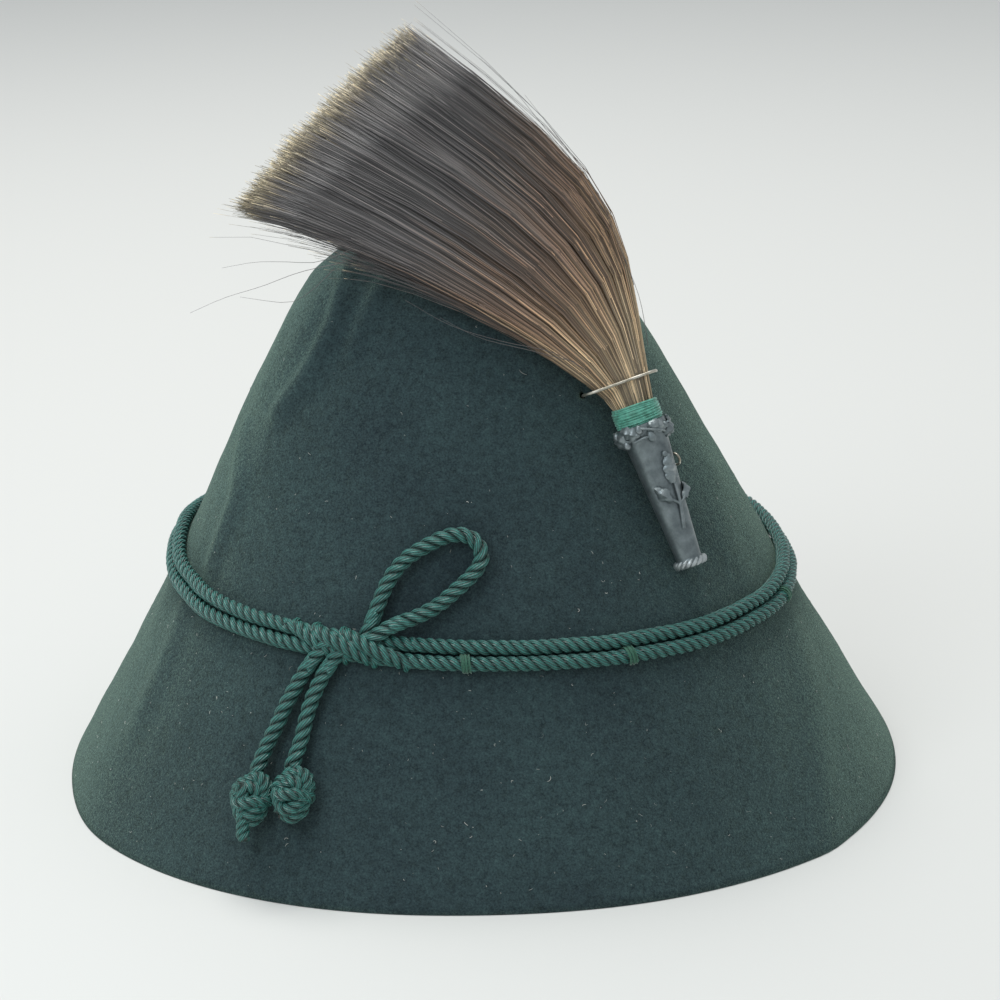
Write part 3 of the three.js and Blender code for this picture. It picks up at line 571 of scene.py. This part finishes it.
chance = np.random.default_rng(14)
batch = []
for degrees in TACK_ANGLES:
    angle = math.radians(degrees)
    low = band_height(angle) - 0.0024 * 0.88
    middle, out = on_felt(angle, low, 0.0024)
    round_felt = Vector((-math.sin(angle), math.cos(angle), 0))
    up_felt = out.cross(round_felt).normalized()
    if up_felt.z < 0:
        up_felt = -up_felt
    loops = []
    for k in range(7):
        shift = (k - 3) * 0.00042 + chance.uniform(-0.0002, 0.0002)
        size = 0.0026 + chance.uniform(0, 0.0004)
        ring = []
        for step in range(15):
            swing = math.radians(-170 + 250 * step / 14)
            ring.append(
                middle
                + round_felt * (shift + 0.0006 * math.sin(swing * 0.5))
                + out * size * math.cos(swing)
                - up_felt * size * math.sin(swing)
            )
        loops.append(ring)
    sweep(batch, loops, 0.00019, 5)
tacks = batch_piece("thread_tacks", batch)
dress(tacks, tack_finish(), "wrap_thread")

# Cast holder: a tapered cup of dark pewter with a collar of leaves and acorns, a raised oak sprig and a
# rope foot. It is turned in its own frame, its foot at the origin, and then set against the felt.
HOLDER = Matrix(
    (
        (-0.7743, 0.5453, -0.3210, 0.0644126),
        (-0.6266, -0.7315, 0.2689, -0.0612489),
        (-0.0881, 0.4093, 0.9081, 0.0844722),
        (0, 0, 0, 1),
    )
)
CUP_ROWS = [
    (4.0, 0), (4.3, 0.25), (4.3, 2.2), (3.95, 2.7), (3.95, 3.0), (4.65, 14), (5.4, 24), (6.15, 34),
    (6.65, 39.5), (7.1, 41.2), (7.5, 43), (7.7, 45), (7.55, 45.8), (7.1, 46), (6.7, 45.6), (6.3, 42),
    (5.6, 34), (4.2, 12), (3.2, 5),
]
FOOT_HEIGHT = 0.003
FOOT_WEAR = 4


def turned(name, rows, sides):
    """Turns a body: a round disc is extruded ring by ring to each row's radius and height."""
    radius, height = (value / 1000 for value in rows[0])
    bpy.ops.object.select_all(action="DESELECT")
    bpy.ops.mesh.primitive_circle_add(vertices=sides, radius=radius, fill_type="NGON", location=(0, 0, height))
    piece = bpy.context.object
    piece.name = name
    bpy.ops.object.transform_apply(location=True, rotation=True, scale=True)
    bpy.ops.object.mode_set(mode="EDIT")
    bpy.ops.mesh.select_all(action="SELECT")
    for next_radius, next_height in rows[1:]:
        next_radius, next_height = next_radius / 1000, next_height / 1000
        bpy.ops.mesh.extrude_region_move(TRANSFORM_OT_translate={"value": (0, 0, next_height - height)})
        grow = next_radius / radius
        bpy.ops.transform.resize(value=(grow, grow, 1), center_override=(0, 0, next_height))
        radius, height = next_radius, next_height
    bpy.ops.mesh.select_all(action="SELECT")
    bpy.ops.mesh.normals_make_consistent(inside=False)
    bpy.ops.object.mode_set(mode="OBJECT")
    return piece


def cup_radius(z):
    """Outer radius of the plain taper at a height over the foot, in millimetres."""
    return 3.95 + (6.65 - 3.95) * min(max((z - 3) / 36.5, 0), 1.2)


def on_cup(across, z, lift):
    """A place on the cup: millimetres round it from the middle of its front, up it, and off it."""
    radius = cup_radius(z) + (0.9 if z > 41 else 0.0)
    angle = across / radius
    reach = (radius + lift) / 1000
    return Vector((reach * math.sin(angle), reach * math.cos(angle), z / 1000))


def cast_leaf(across, z, length, width, turn, lobes, lift=0.5):
    """Shapes a grid into a lobed leaf with a raised rib, bent round the cup at its place."""
    bpy.ops.object.select_all(action="DESELECT")
    bpy.ops.mesh.primitive_grid_add(x_subdivisions=8, y_subdivisions=14, size=1)
    leaf = bpy.context.object
    cosine, sine = math.cos(math.radians(turn)), math.sin(math.radians(turn))
    for corner in leaf.data.vertices:
        side, along = corner.co.x * 2, corner.co.y + 0.5
        outline = math.sin(math.pi * min(along * 0.96 + 0.03, 1)) ** 0.7
        outline *= 1 + 0.24 * math.cos(lobes * 2 * math.pi * along)
        x = side * outline * width / 2
        y = (along - 0.5) * length
        rib = 0.28 * math.exp(-((side / 0.16) ** 2)) + 0.1 * math.cos(2 * math.pi * (along * lobes - abs(side) * 0.8))
        height = lift * (1.15 - 0.9 * side * side) + rib * (0.3 + outline) - 0.5 * (1 - outline)
        corner.co = on_cup(across + x * cosine + y * sine, z + y * cosine - x * sine, max(height, -0.45))
    bpy.context.view_layer.objects.active = leaf
    wall = leaf.modifiers.new("wall", "SOLIDIFY")
    wall.thickness = 0.0006
    wall.offset = -1
    bpy.ops.object.modifier_apply(modifier=wall.name)
    bpy.ops.object.mode_set(mode="EDIT")
    bpy.ops.mesh.select_all(action="SELECT")
    bpy.ops.mesh.normals_make_consistent(inside=False)
    bpy.ops.object.mode_set(mode="OBJECT")
    return leaf


def cast_berry(across, z, size, tall=1.0, lift=0.3):
    """An acorn or a bud: a small ball, drawn out along the cup, with a rough cap."""
    bpy.ops.object.select_all(action="DESELECT")
    bpy.ops.mesh.primitive_uv_sphere_add(segments=12, ring_count=8, radius=1)
    berry = bpy.context.object
    middle = on_cup(across, z, lift)
    for corner in berry.data.vertices:
        cap = 1.14 if corner.co.z < -0.15 else 1.0
        corner.co = middle + Vector((corner.co.x * cap, corner.co.y * cap, corner.co.z * tall)) * size / 1000
    return berry


def cast_twigs(name, twigs):
    """Raised twigs on the cup, each through its places, thinner towards its end."""
    batch = []
    for places, thick, thin in twigs:
        line = even_line([tuple(on_cup(*place)) for place in places], 0.0004)
        sweep(batch, line[None], np.linspace(thick, thin, len(line))[None] / 1000, 8)
    return batch_piece(name, batch)


def pewter_finish():
    material, surface, add, link = new_material("dark_pewter")
    place = add("TexCoord")
    patina = add("TexNoise", scale=240, detail=5, roughness=0.62)
    pits = add("TexNoise", scale=2600, detail=3, roughness=0.6)
    for pattern in (patina, pits):
        link(place.outputs["Object"], pattern.inputs["Vector"])
    raised = add("Attribute", attribute_name="raised")
    worn = add("Math", operation="MULTIPLY_ADD")
    worn.inputs[1].default_value = 0.16
    link(raised.outputs["Fac"], worn.inputs[0])
    link(patina.outputs["Fac"], worn.inputs[2])
    colour = ramp(add, [(0.3, (0.1, 0.125, 0.135)), (0.62, (0.21, 0.25, 0.26)), (1, (0.42, 0.46, 0.47))])
    link(worn.outputs[0], colour.inputs["Fac"])
    link(colour.outputs["Color"], surface.inputs["Base Color"])
    rough = ramp(add, [(0.3, (0.5, 0.5, 0.5)), (0.75, (0.28, 0.28, 0.28))])
    link(patina.outputs["Fac"], rough.inputs["Fac"])
    link(rough.outputs["Color"], surface.inputs["Roughness"])
    bump = add("Bump", strength=0.35, distance=0.00012)
    link(pits.outputs["Fac"], bump.inputs["Height"])
    link(bump.outputs["Normal"], surface.inputs["Normal"])
    surface.inputs["Metallic"].default_value = 0.72
    return material


cup = turned("cast_holder", CUP_ROWS, 44)
casting = [cup]
rope = []
for strand in range(16):
    line = []
    for k in range(7):
        t = k / 6 - 0.5
        angle = 2 * math.pi * strand / 16 + 0.62 * t
        reach = 0.0043 + 0.0004 * math.cos(math.pi * t)
        line.append((reach * math.cos(angle), reach * math.sin(angle), 0.00125 + 0.0021 * t))
    rope.append(line)
batch = []
sweep(batch, rope, np.broadcast_to([0.00035, 0.00062, 0.00068, 0.0007, 0.00068, 0.00062, 0.00035], (16, 7)), 7)
casting.append(batch_piece("rope_foot", batch))
for across, z, length, width, turn, lobes, *lift in (
    (-4.6, 22.6, 6.4, 3.0, -52, 2, 0.9), (4.3, 23.6, 6, 2.8, 34, 2, 0.9), (0.2, 30.5, 8.6, 3.6, -6, 4, 0.9),
    (-21, 43, 6, 4, 60, 3), (-15.5, 42, 6, 4, -50, 3), (-10.2, 43.6, 6, 3.8, 55, 3), (-5.4, 42, 6, 3.8, -60, 3),
    (0.5, 44, 5.6, 3.4, 66, 3), (9.4, 44.4, 6, 3.6, 62, 3), (13.8, 42.4, 6, 4, -48, 3), (18.6, 43.4, 6, 4, 58, 3),
    (22.6, 42.2, 6, 4, -54, 3),
):
    casting.append(cast_leaf(across, z, length, width, turn, lobes, *lift))
for across, z, size, tall in (
    (-1, 28, 1.05, 1), (1, 29.4, 1.05, 1), (-0.9, 31, 1.05, 1), (0.9, 32.4, 1, 1), (-0.6, 33.9, 0.95, 1),
    (0.5, 35.2, 0.9, 1.1), (3.4, 41.6, 1.3, 1.5), (6.4, 44.6, 1.15, 1.3), (-12.8, 40.9, 1.1, 1.3),
    (-7.6, 41.2, 1.0, 1.3), (-2.6, 43.4, 0.9, 1.2), (11.6, 41.2, 1.1, 1.3), (16, 44.6, 1.1, 1.2),
    (-18.4, 44.8, 1.1, 1.2), (20.8, 44.8, 1, 1.2),
):
    casting.append(cast_berry(across, z, size, tall))
casting.append(
    cast_twigs(
        "raised_twigs",
        [
            ([(1.5, 12, 0.2), (0.9, 16, 0.45), (0.4, 20, 0.6), (0.2, 25, 0.7), (0.1, 34, 0.5)], 0.6, 0.45),
            ([(0.5, 19, 0.5), (-1.4, 20.6, 0.7), (-3.4, 21.8, 0.7), (-6, 24, 0.8)], 0.52, 0.32),
            ([(0.5, 19.6, 0.5), (2, 21, 0.7), (3.4, 22.6, 0.7), (5, 25.4, 0.8)], 0.5, 0.32),
            ([(-3.5, 41, 0.3), (0, 42.4, 0.9), (3.6, 43.8, 1), (6.6, 45.2, 0.8)], 0.5, 0.4),
            ([(8.6, 41.4, 0.3), (5.6, 41.8, 0.8), (2.4, 41.4, 0.6)], 0.45, 0.35),
            ([(-14, 44, 0.4), (-9, 42.4, 1), (-4, 44, 0.7)], 0.45, 0.35),
            ([(10, 42, 0.4), (15, 43.6, 1), (20, 42.2, 0.6)], 0.45, 0.35),
            ([(-24, 42, 0.4), (-20, 43.8, 1), (-15, 42.4, 0.6)], 0.45, 0.35),
        ],
    )
)
bpy.ops.object.select_all(action="DESELECT")
for part in casting:
    part.select_set(True)
bpy.context.view_layer.objects.active = cup
bpy.ops.object.join()
holder = bpy.context.object
relief = []
for corner in holder.data.vertices:
    proud = math.hypot(corner.co.x, corner.co.y) * 1000 - cup_radius(corner.co.z * 1000)
    relief.append(min(max(proud / 1.6, 0), 1) * (FOOT_WEAR if corner.co.z < FOOT_HEIGHT else 1))
raised = holder.data.attributes.new("raised", "FLOAT", "POINT")
raised.data.foreach_set("value", relief)
holder.data.transform(HOLDER)
bpy.ops.object.shade_smooth_by_angle(angle=math.radians(50))
dress(holder, pewter_finish(), "pewter", "brush_holder")

# Thread wrap: glossy green thread wound tight round the root of the hair, in two layers that cross.
# The first layer runs up in close turns, and the second slants over it.
WRAP_LOW = 0.0461
WRAP_HIGH = 0.0521


def wound(turns, low, high, radius, slant, wobble, steps=40):
    """A thread's line that winds round the holder's axis."""
    line = []
    for k in range(int(turns * steps) + 1):
        swing = 2 * math.pi * k / steps
        t = k / (turns * steps)
        reach = radius + wobble * math.sin(swing * 0.37 + 1.3)
        z = low + (high - low) * t + slant * math.sin(swing + 0.6)
        line.append(HOLDER @ Vector((reach * math.cos(swing), reach * math.sin(swing), z)))
    return [line]


def wrap_finish():
    material, surface, add, link = new_material("bright_green_thread")
    place = add("TexCoord")
    shade = add("TexNoise", scale=700, detail=4, roughness=0.6)
    fine = add("TexNoise", scale=5200, detail=1)
    link(place.outputs["Object"], shade.inputs["Vector"])
    link(place.outputs["Object"], fine.inputs["Vector"])
    colour = ramp(add, [(0.3, (0.06, 0.22, 0.16)), (0.7, (0.15, 0.52, 0.4))])
    link(shade.outputs["Fac"], colour.inputs["Fac"])
    link(colour.outputs["Color"], surface.inputs["Base Color"])
    bump = add("Bump", strength=0.4, distance=0.0001)
    link(fine.outputs["Fac"], bump.inputs["Height"])
    link(bump.outputs["Normal"], surface.inputs["Normal"])
    surface.inputs["Roughness"].default_value = 0.38
    surface.inputs["Sheen Weight"].default_value = 0.2
    return material


batch = []
sweep(batch, wound(13, WRAP_LOW, WRAP_HIGH, 0.0068, 0, 0.00005), 0.00034, 6)
sweep(batch, wound(9, WRAP_HIGH - 0.0003, WRAP_LOW + 0.0002, 0.00705, 0.0003, 0.00008), 0.0003, 6)
sweep(batch, wound(5, WRAP_LOW + 0.001, WRAP_HIGH - 0.001, 0.00725, -0.0005, 0.00006), 0.00026, 6)
wrap = batch_piece("wound_thread", batch)
dress(wrap, wrap_finish(), "wrap_thread", "thread_wrap")

# Hair brush: a thick tuft of long stiff hair, tan at its root, dark grey-brown along its length and
# pale at the tips. It stands in the holder and fans out over the crown, in locks and single hairs.
ROOT_TOP = np.array([0.0477867, -0.04732, 0.1315126])
ROOT_ACROSS = np.array([0.9428, 0, 0.3332])
ROOT_RADIUS = 0.0064
HAIR_LENGTH = 0.14
UPPER_EDGE = np.array([(-0.024, 0.36), (0.038, 0.415), (-0.472, 0.766)])
LOWER_EDGE = np.array([(-0.11, 0.118), (-0.6, 0.375), (-0.84, 0.422)])
HAIR_STATIONS = np.array([-0.075, 0, 0.08, 0.2, 0.34, 0.48, 0.62, 0.76, 0.89, 1.0])
LOCK_COUNT = 220
HAIRS_PER_PIECE = 3000


def fan_depth(x, z):
    """How far back the middle of the fan lies at a place across and up."""
    reach = np.maximum(ROOT_TOP[0] - x, 0) / 0.02
    return ROOT_TOP[1] + 0.5 * (z - ROOT_TOP[2]) - 0.011 * (1 - np.exp(-reach))


def hair_lines(place, depth, reach, along):
    """Lines of hairs: place -1 to 1 across the fan, depth -1 to 1 through it, both at each station."""
    mix = (place + 1) / 2
    t = np.clip(along, 0, None)[None] + 0 * place
    controls = []
    for low, high in zip(LOWER_EDGE, UPPER_EDGE):
        x = ROOT_TOP[0] + HAIR_LENGTH * reach * (low[0] + (high[0] - low[0]) * mix)
        z = ROOT_TOP[2] + HAIR_LENGTH * reach * (low[1] + (high[1] - low[1]) * mix)
        controls.append((x, z))
    start_x = ROOT_TOP[0] + ROOT_ACROSS[0] * place * ROOT_RADIUS * 0.9
    start_z = ROOT_TOP[2] + ROOT_ACROSS[2] * place * ROOT_RADIUS * 0.9
    weights = [(1 - t) ** 3, 3 * t * (1 - t) ** 2, 3 * t * t * (1 - t), t**3]
    x = weights[0] * start_x + sum(w * c[0] for w, c in zip(weights[1:], controls))
    z = weights[0] * start_z + sum(w * c[1] for w, c in zip(weights[1:], controls))
    blend = np.clip(t / 0.3, 0, 1) ** 2 * (3 - 2 * np.clip(t / 0.3, 0, 1))
    middle = ROOT_TOP[1] * (1 - blend) + fan_depth(x, z) * blend
    thick = np.interp(t, [0, 0.085, 0.2, 0.5, 1], [0.0046, 0.0026, 0.0046, 0.0052, 0.0036])
    edge = np.sqrt(np.clip(1 - 0.75 * place * place, 0.05, 1))
    y = middle - depth * thick * edge
    below = np.clip(along, None, 0)[None, :, None]
    axis = np.array([-0.321, 0.2689, 0.9081])
    return np.stack([x, y, z], -1) + below * HAIR_LENGTH * axis


def hair_finish():
    material, surface, add, link = new_material("brush_hair")
    strand = add("UVMap")
    split = add("SeparateXYZ")
    link(strand.outputs["UV"], split.inputs[0])
    edge = add("Math", operation="POWER")
    edge.inputs[1].default_value = 5
    link(split.outputs["Y"], edge.inputs[0])
    jitter = add("Math", operation="MULTIPLY_ADD")
    jitter.inputs[1].default_value = -0.2
    link(edge.outputs[0], jitter.inputs[0])
    single = add("Math", operation="MULTIPLY")
    single.inputs[1].default_value = 91.0
    link(split.outputs["Y"], single.inputs[0])
    part_single = add("Math", operation="FRACT")
    link(single.outputs[0], part_single.inputs[0])
    scatter = add("Math", operation="MULTIPLY_ADD")
    scatter.inputs[1].default_value = 0.16
    scatter.inputs[2].default_value = -0.07
    link(part_single.outputs[0], scatter.inputs[0])
    link(scatter.outputs[0], jitter.inputs[2])
    tip_share = add("Math", operation="POWER")
    tip_share.inputs[1].default_value = 6
    link(split.outputs["X"], tip_share.inputs[0])
    steady = add("Math", operation="SUBTRACT")
    steady.inputs[0].default_value = 1
    link(tip_share.outputs[0], steady.inputs[1])
    moved = add("Math", operation="MULTIPLY")
    link(jitter.outputs[0], moved.inputs[0])
    link(steady.outputs[0], moved.inputs[1])
    along = add("Math", operation="ADD")
    link(split.outputs["X"], along.inputs[0])
    link(moved.outputs[0], along.inputs[1])
    colour = ramp(
        add,
        [
            (0.0, (0.3, 0.245, 0.165)), (0.15, (0.35, 0.275, 0.175)), (0.3, (0.25, 0.17, 0.105)),
            (0.42, (0.15, 0.1, 0.072)), (0.55, (0.1, 0.08, 0.068)), (0.68, (0.076, 0.072, 0.073)),
            (0.965, (0.066, 0.064, 0.066)), (0.985, (0.2, 0.17, 0.12)), (1.0, (0.5, 0.45, 0.32)),
        ],
    )
    link(along.outputs[0], colour.inputs["Fac"])
    shade = ramp(
        add, [(0.0, (0.42, 0.41, 0.4)), (0.5, (0.85, 0.85, 0.85)), (0.8, (1.7, 1.66, 1.62)), (1, (3.4, 3.2, 3))]
    )
    stray = add("Math", operation="FRACT")
    many = add("Math", operation="MULTIPLY")
    many.inputs[1].default_value = 37.0
    link(split.outputs["Y"], many.inputs[0])
    link(many.outputs[0], stray.inputs[0])
    link(stray.outputs[0], shade.inputs["Fac"])
    tone = add("Mix", data_type="RGBA", blend_type="MULTIPLY")
    tone.inputs[0].default_value = 1
    link(colour.outputs["Color"], tone.inputs[6])
    link(shade.outputs["Color"], tone.inputs[7])
    link(tone.outputs[2], surface.inputs["Base Color"])
    surface.inputs["Roughness"].default_value = 0.36
    surface.inputs["Specular IOR Level"].default_value = 0.8
    return material


hair_material = hair_finish()
lock_places = chance.uniform(-1, 1, (LOCK_COUNT, 2))
lock_reach = chance.normal(0, 0.006, LOCK_COUNT)
lock_bend = chance.normal(0, 0.03, LOCK_COUNT)
for part in range(4):
    count = HAIRS_PER_PIECE
    place = chance.uniform(-1, 1, count)
    depth = chance.uniform(-1, 1, count)
    aside = (lock_places[None, :, 0] - place[:, None]) ** 2
    behind = (lock_places[None, :, 1] - depth[:, None]) ** 2
    nearest = np.argmin(aside + 0.25 * behind, axis=1)
    along = HAIR_STATIONS
    gather = 0.34 * np.sin(np.clip(along, 0, 1) * 2.7)[None]
    places = place[:, None] + (lock_places[nearest, 0] - place)[:, None] * gather
    places += lock_bend[nearest][:, None] * np.sin(np.clip(along, 0, 1) * 3.4)[None]
    places += chance.normal(0, 0.03, (count, 1)) * np.clip(along, 0, 1)[None] ** 1.3
    depths = depth[:, None] + (lock_places[nearest, 1] - depth)[:, None] * gather * 0.6
    reach = 0.99 + 0.02 * (1 - place * place) + lock_reach[nearest] + chance.normal(0, 0.014, count)
    reach -= 0.12 * np.clip(chance.uniform(-1, 1, count) - 0.75, 0, 1)
    lines = hair_lines(places, depths, reach[:, None], along)
    radii = np.interp(along, [-0.1, 0, 0.5, 0.9, 1], [0.00016, 0.00017, 0.00016, 0.00012, 0.00005])
    batch = []
    sweep(batch, lines, radii[None] * chance.uniform(0.8, 1.25, (count, 1)), 3, mark=(place + 1) / 2)
    hair = batch_piece(f"brush_hair_{part + 1}", batch)
    if part:
        dress(hair, hair_material, "hair")
    else:
        dress(hair, hair_material, "hair", "hair_brush")

# Stray hairs: a few long single hairs leave the fan at its edges and over the felt.
# Their places follow the photograph, and a seeded scatter of shorter ones fills in between.
STRAYS = [
    [(-38.3, -41.6, 176.6), (-51.8, -42.9, 174.1), (-63.2, -44.8, 170.5), (-74.6, -46.3, 167.5),
     (-84.8, -48.3, 163.6)],
    [(-36.8, -40, 179.9), (-46.4, -41.6, 176.8), (-56.3, -41.5, 177), (-65.3, -41.5, 177.1), (-75.2, -42.2, 175.7)],
    [(-41.4, -42.4, 175), (-48.3, -45.4, 169.1), (-54.3, -47, 166), (-61.5, -46.8, 166.4), (-69.8, -46.2, 167.7)],
    [(34.3, -52.5, 143.9), (23, -51.8, 150.1), (9, -51.7, 153.5), (-6.7, -50.2, 158.4), (-20.6, -46.8, 165.8)],
    [(29.8, -52.1, 147), (15.8, -52.3, 151.1), (1.6, -51.5, 154.9), (-10.2, -49.1, 160.7)],
    [(40, -29, 187.4), (32.4, -25.2, 199.7), (22.6, -21, 211.9), (12.9, -16.4, 223.5), (3.4, -12.8, 232.2)],
    [(48.6, -36, 166.2), (42.3, -29.5, 184.4), (35.3, -25.6, 197.2), (27.1, -22, 208.3), (16.8, -17.1, 221.4)],
    [(52.3, -44.3, 149.6), (50.3, -38.1, 162), (46.3, -33.5, 172.8), (40.6, -29.2, 186.5), (34.4, -26.1, 196.7)],
    [(-20.9, -15, 229.4), (-22.3, -11.9, 235.6), (-20.7, -10, 239.5), (-17, -8.2, 242.8)],
]
batch = []
for stray in STRAYS:
    line = even_line(metres(stray), 0.004)
    radii = np.linspace(0.00011, 0.00004, len(line))[None]
    sweep(batch, line[None], radii, 3, mark=np.array([0.02]), span=(0.6, 0.93))
count = 260
edge_side = np.where(chance.uniform(0, 1, count) < 0.55, -1, 1)
place = edge_side * chance.uniform(0.8, 1.04, count)
spread = edge_side * chance.gamma(1.5, 0.045, count)
along = HAIR_STATIONS
places = place[:, None] + spread[:, None] * np.clip(along, 0, 1)[None] ** 1.6
depths = chance.uniform(-1.2, 1.4, count)[:, None] + 0 * places
lines = hair_lines(places, depths, chance.uniform(0.7, 1.05, count)[:, None], along)
radii = np.interp(along, [-0.1, 0.5, 1], [0.00012, 0.0001, 0.00004])
sweep(batch, lines, radii[None] + np.zeros((count, 1)), 3, mark=chance.uniform(0, 1, count))
strays = batch_piece("stray_hairs", batch)
dress(strays, hair_material, "hair")


# Wires: a bent steel staple holds the hair to the crown, and a pin with a round eye fastens the holder.
# Both are drawn wire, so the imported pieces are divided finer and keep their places.
def wire_finish():
    material, surface, add, link = new_material("drawn_steel_wire")
    place = add("TexCoord")
    tarnish = add("TexNoise", scale=500, detail=4, roughness=0.6)
    link(place.outputs["Object"], tarnish.inputs["Vector"])
    colour = ramp(add, [(0.3, (0.3, 0.27, 0.2)), (0.6, (0.62, 0.6, 0.53))])
    link(tarnish.outputs["Fac"], colour.inputs["Fac"])
    link(colour.outputs["Color"], surface.inputs["Base Color"])
    rough = ramp(add, [(0.3, (0.5, 0.5, 0.5)), (0.7, (0.28, 0.28, 0.28))])
    link(tarnish.outputs["Fac"], rough.inputs["Fac"])
    link(rough.outputs["Color"], surface.inputs["Roughness"])
    surface.inputs["Metallic"].default_value = 0.9
    return material


wire_material = wire_finish()
for node_name, wire_name in (("holder_pin", "pin_wire"), ("wire_staple", "staple_wire")):
    wire = copy_of(node_name, wire_name)
    divide(wire, 2)
    dress(wire, wire_material, "wire", node_name)


# Lint: short pale fibres and specks that cling to the felt, as on any wool hat that has been worn.
# Each is a short curled hair that lies on the felt, and most are shorter than two millimetres.
def lint_finish():
    material, surface, add, link = new_material("pale_lint")
    place = add("TexCoord")
    shade = add("TexNoise", scale=90, detail=2)
    link(place.outputs["Object"], shade.inputs["Vector"])
    colour = ramp(add, [(0.35, (0.25, 0.28, 0.26)), (0.7, (0.7, 0.72, 0.68))])
    link(shade.outputs["Fac"], colour.inputs["Fac"])
    link(colour.outputs["Color"], surface.inputs["Base Color"])
    surface.inputs["Roughness"].default_value = 0.9
    return material


lines, sizes = [], []
for k in range(900):
    angle = chance.uniform(-math.pi, math.pi)
    height = 0.165 * (1 - math.sqrt(chance.uniform(0, 1)) * 0.985)
    length = min(0.0002 + chance.exponential(0.0004), 0.0035)
    heading = chance.uniform(0, 2 * math.pi)
    curl = chance.normal(0, 1.2)
    spot, out = on_felt(angle, height, 0)
    first = out.orthogonal().normalized()
    second = out.cross(first)
    line = []
    for step in range(5):
        t = step / 4 - 0.5
        turned_heading = heading + curl * t
        line.append(
            spot + (first * math.cos(turned_heading) + second * math.sin(turned_heading)) * length * t
            + out * (0.00012 + 0.0002 * (0.25 - t * t))
        )
    lines.append(line)
    sizes.append(chance.uniform(0.00003, 0.0001))
batch = []
sweep(batch, lines, np.array(sizes)[:, None] * np.array([[0.6, 1, 1, 1, 0.6]]), 3)
lint = batch_piece("felt_lint", batch)
dress(lint, lint_finish(), "felt")


# Floor and light: a pale floor, a broad soft light above and behind, and a small near one at the left front.
# Nothing here is part of the hat.
def floor_finish():
    material, surface, add, link = new_material("pale_floor")
    surface.inputs["Base Color"].default_value = (0.72, 0.727, 0.71, 1)
    surface.inputs["Roughness"].default_value = 0.9
    surface.inputs["Specular IOR Level"].default_value = 0.2
    return material


bpy.ops.object.select_all(action="DESELECT")
bpy.ops.mesh.primitive_plane_add(size=16, location=(0, 2, 0))
floor = bpy.context.object
floor.name = "floor"
floor.data.materials.append(floor_finish())

world = bpy.data.worlds.new("soft_room")
bpy.context.scene.world = world
world.use_nodes = True
world.node_tree.nodes["Background"].inputs["Color"].default_value = (0.93, 0.97, 1.0, 1)
world.node_tree.nodes["Background"].inputs["Strength"].default_value = 0.55


def soft_light(name, place, aim, size, power, colour):
    lamp = bpy.data.lights.new(name, "AREA")
    lamp.shape = "DISK"
    lamp.size = size
    lamp.energy = power
    lamp.color = colour
    holder_object = bpy.data.objects.new(name, lamp)
    bpy.context.collection.objects.link(holder_object)
    holder_object.location = place
    holder_object.rotation_euler = (Vector(aim) - Vector(place)).to_track_quat("-Z", "Y").to_euler()


soft_light("overhead", (-0.3, 0.5, 1.9), (0, 0, 0.1), 1.5, 26, (1, 0.99, 0.96))
soft_light("near_fill", (-0.34, -0.4, 0.58), (-0.01, -0.05, 0.14), 0.3, 1.15, (0.9, 0.96, 1))

bpy.context.scene.view_settings.view_transform = "Standard"
bpy.context.scene.view_settings.look = "None"
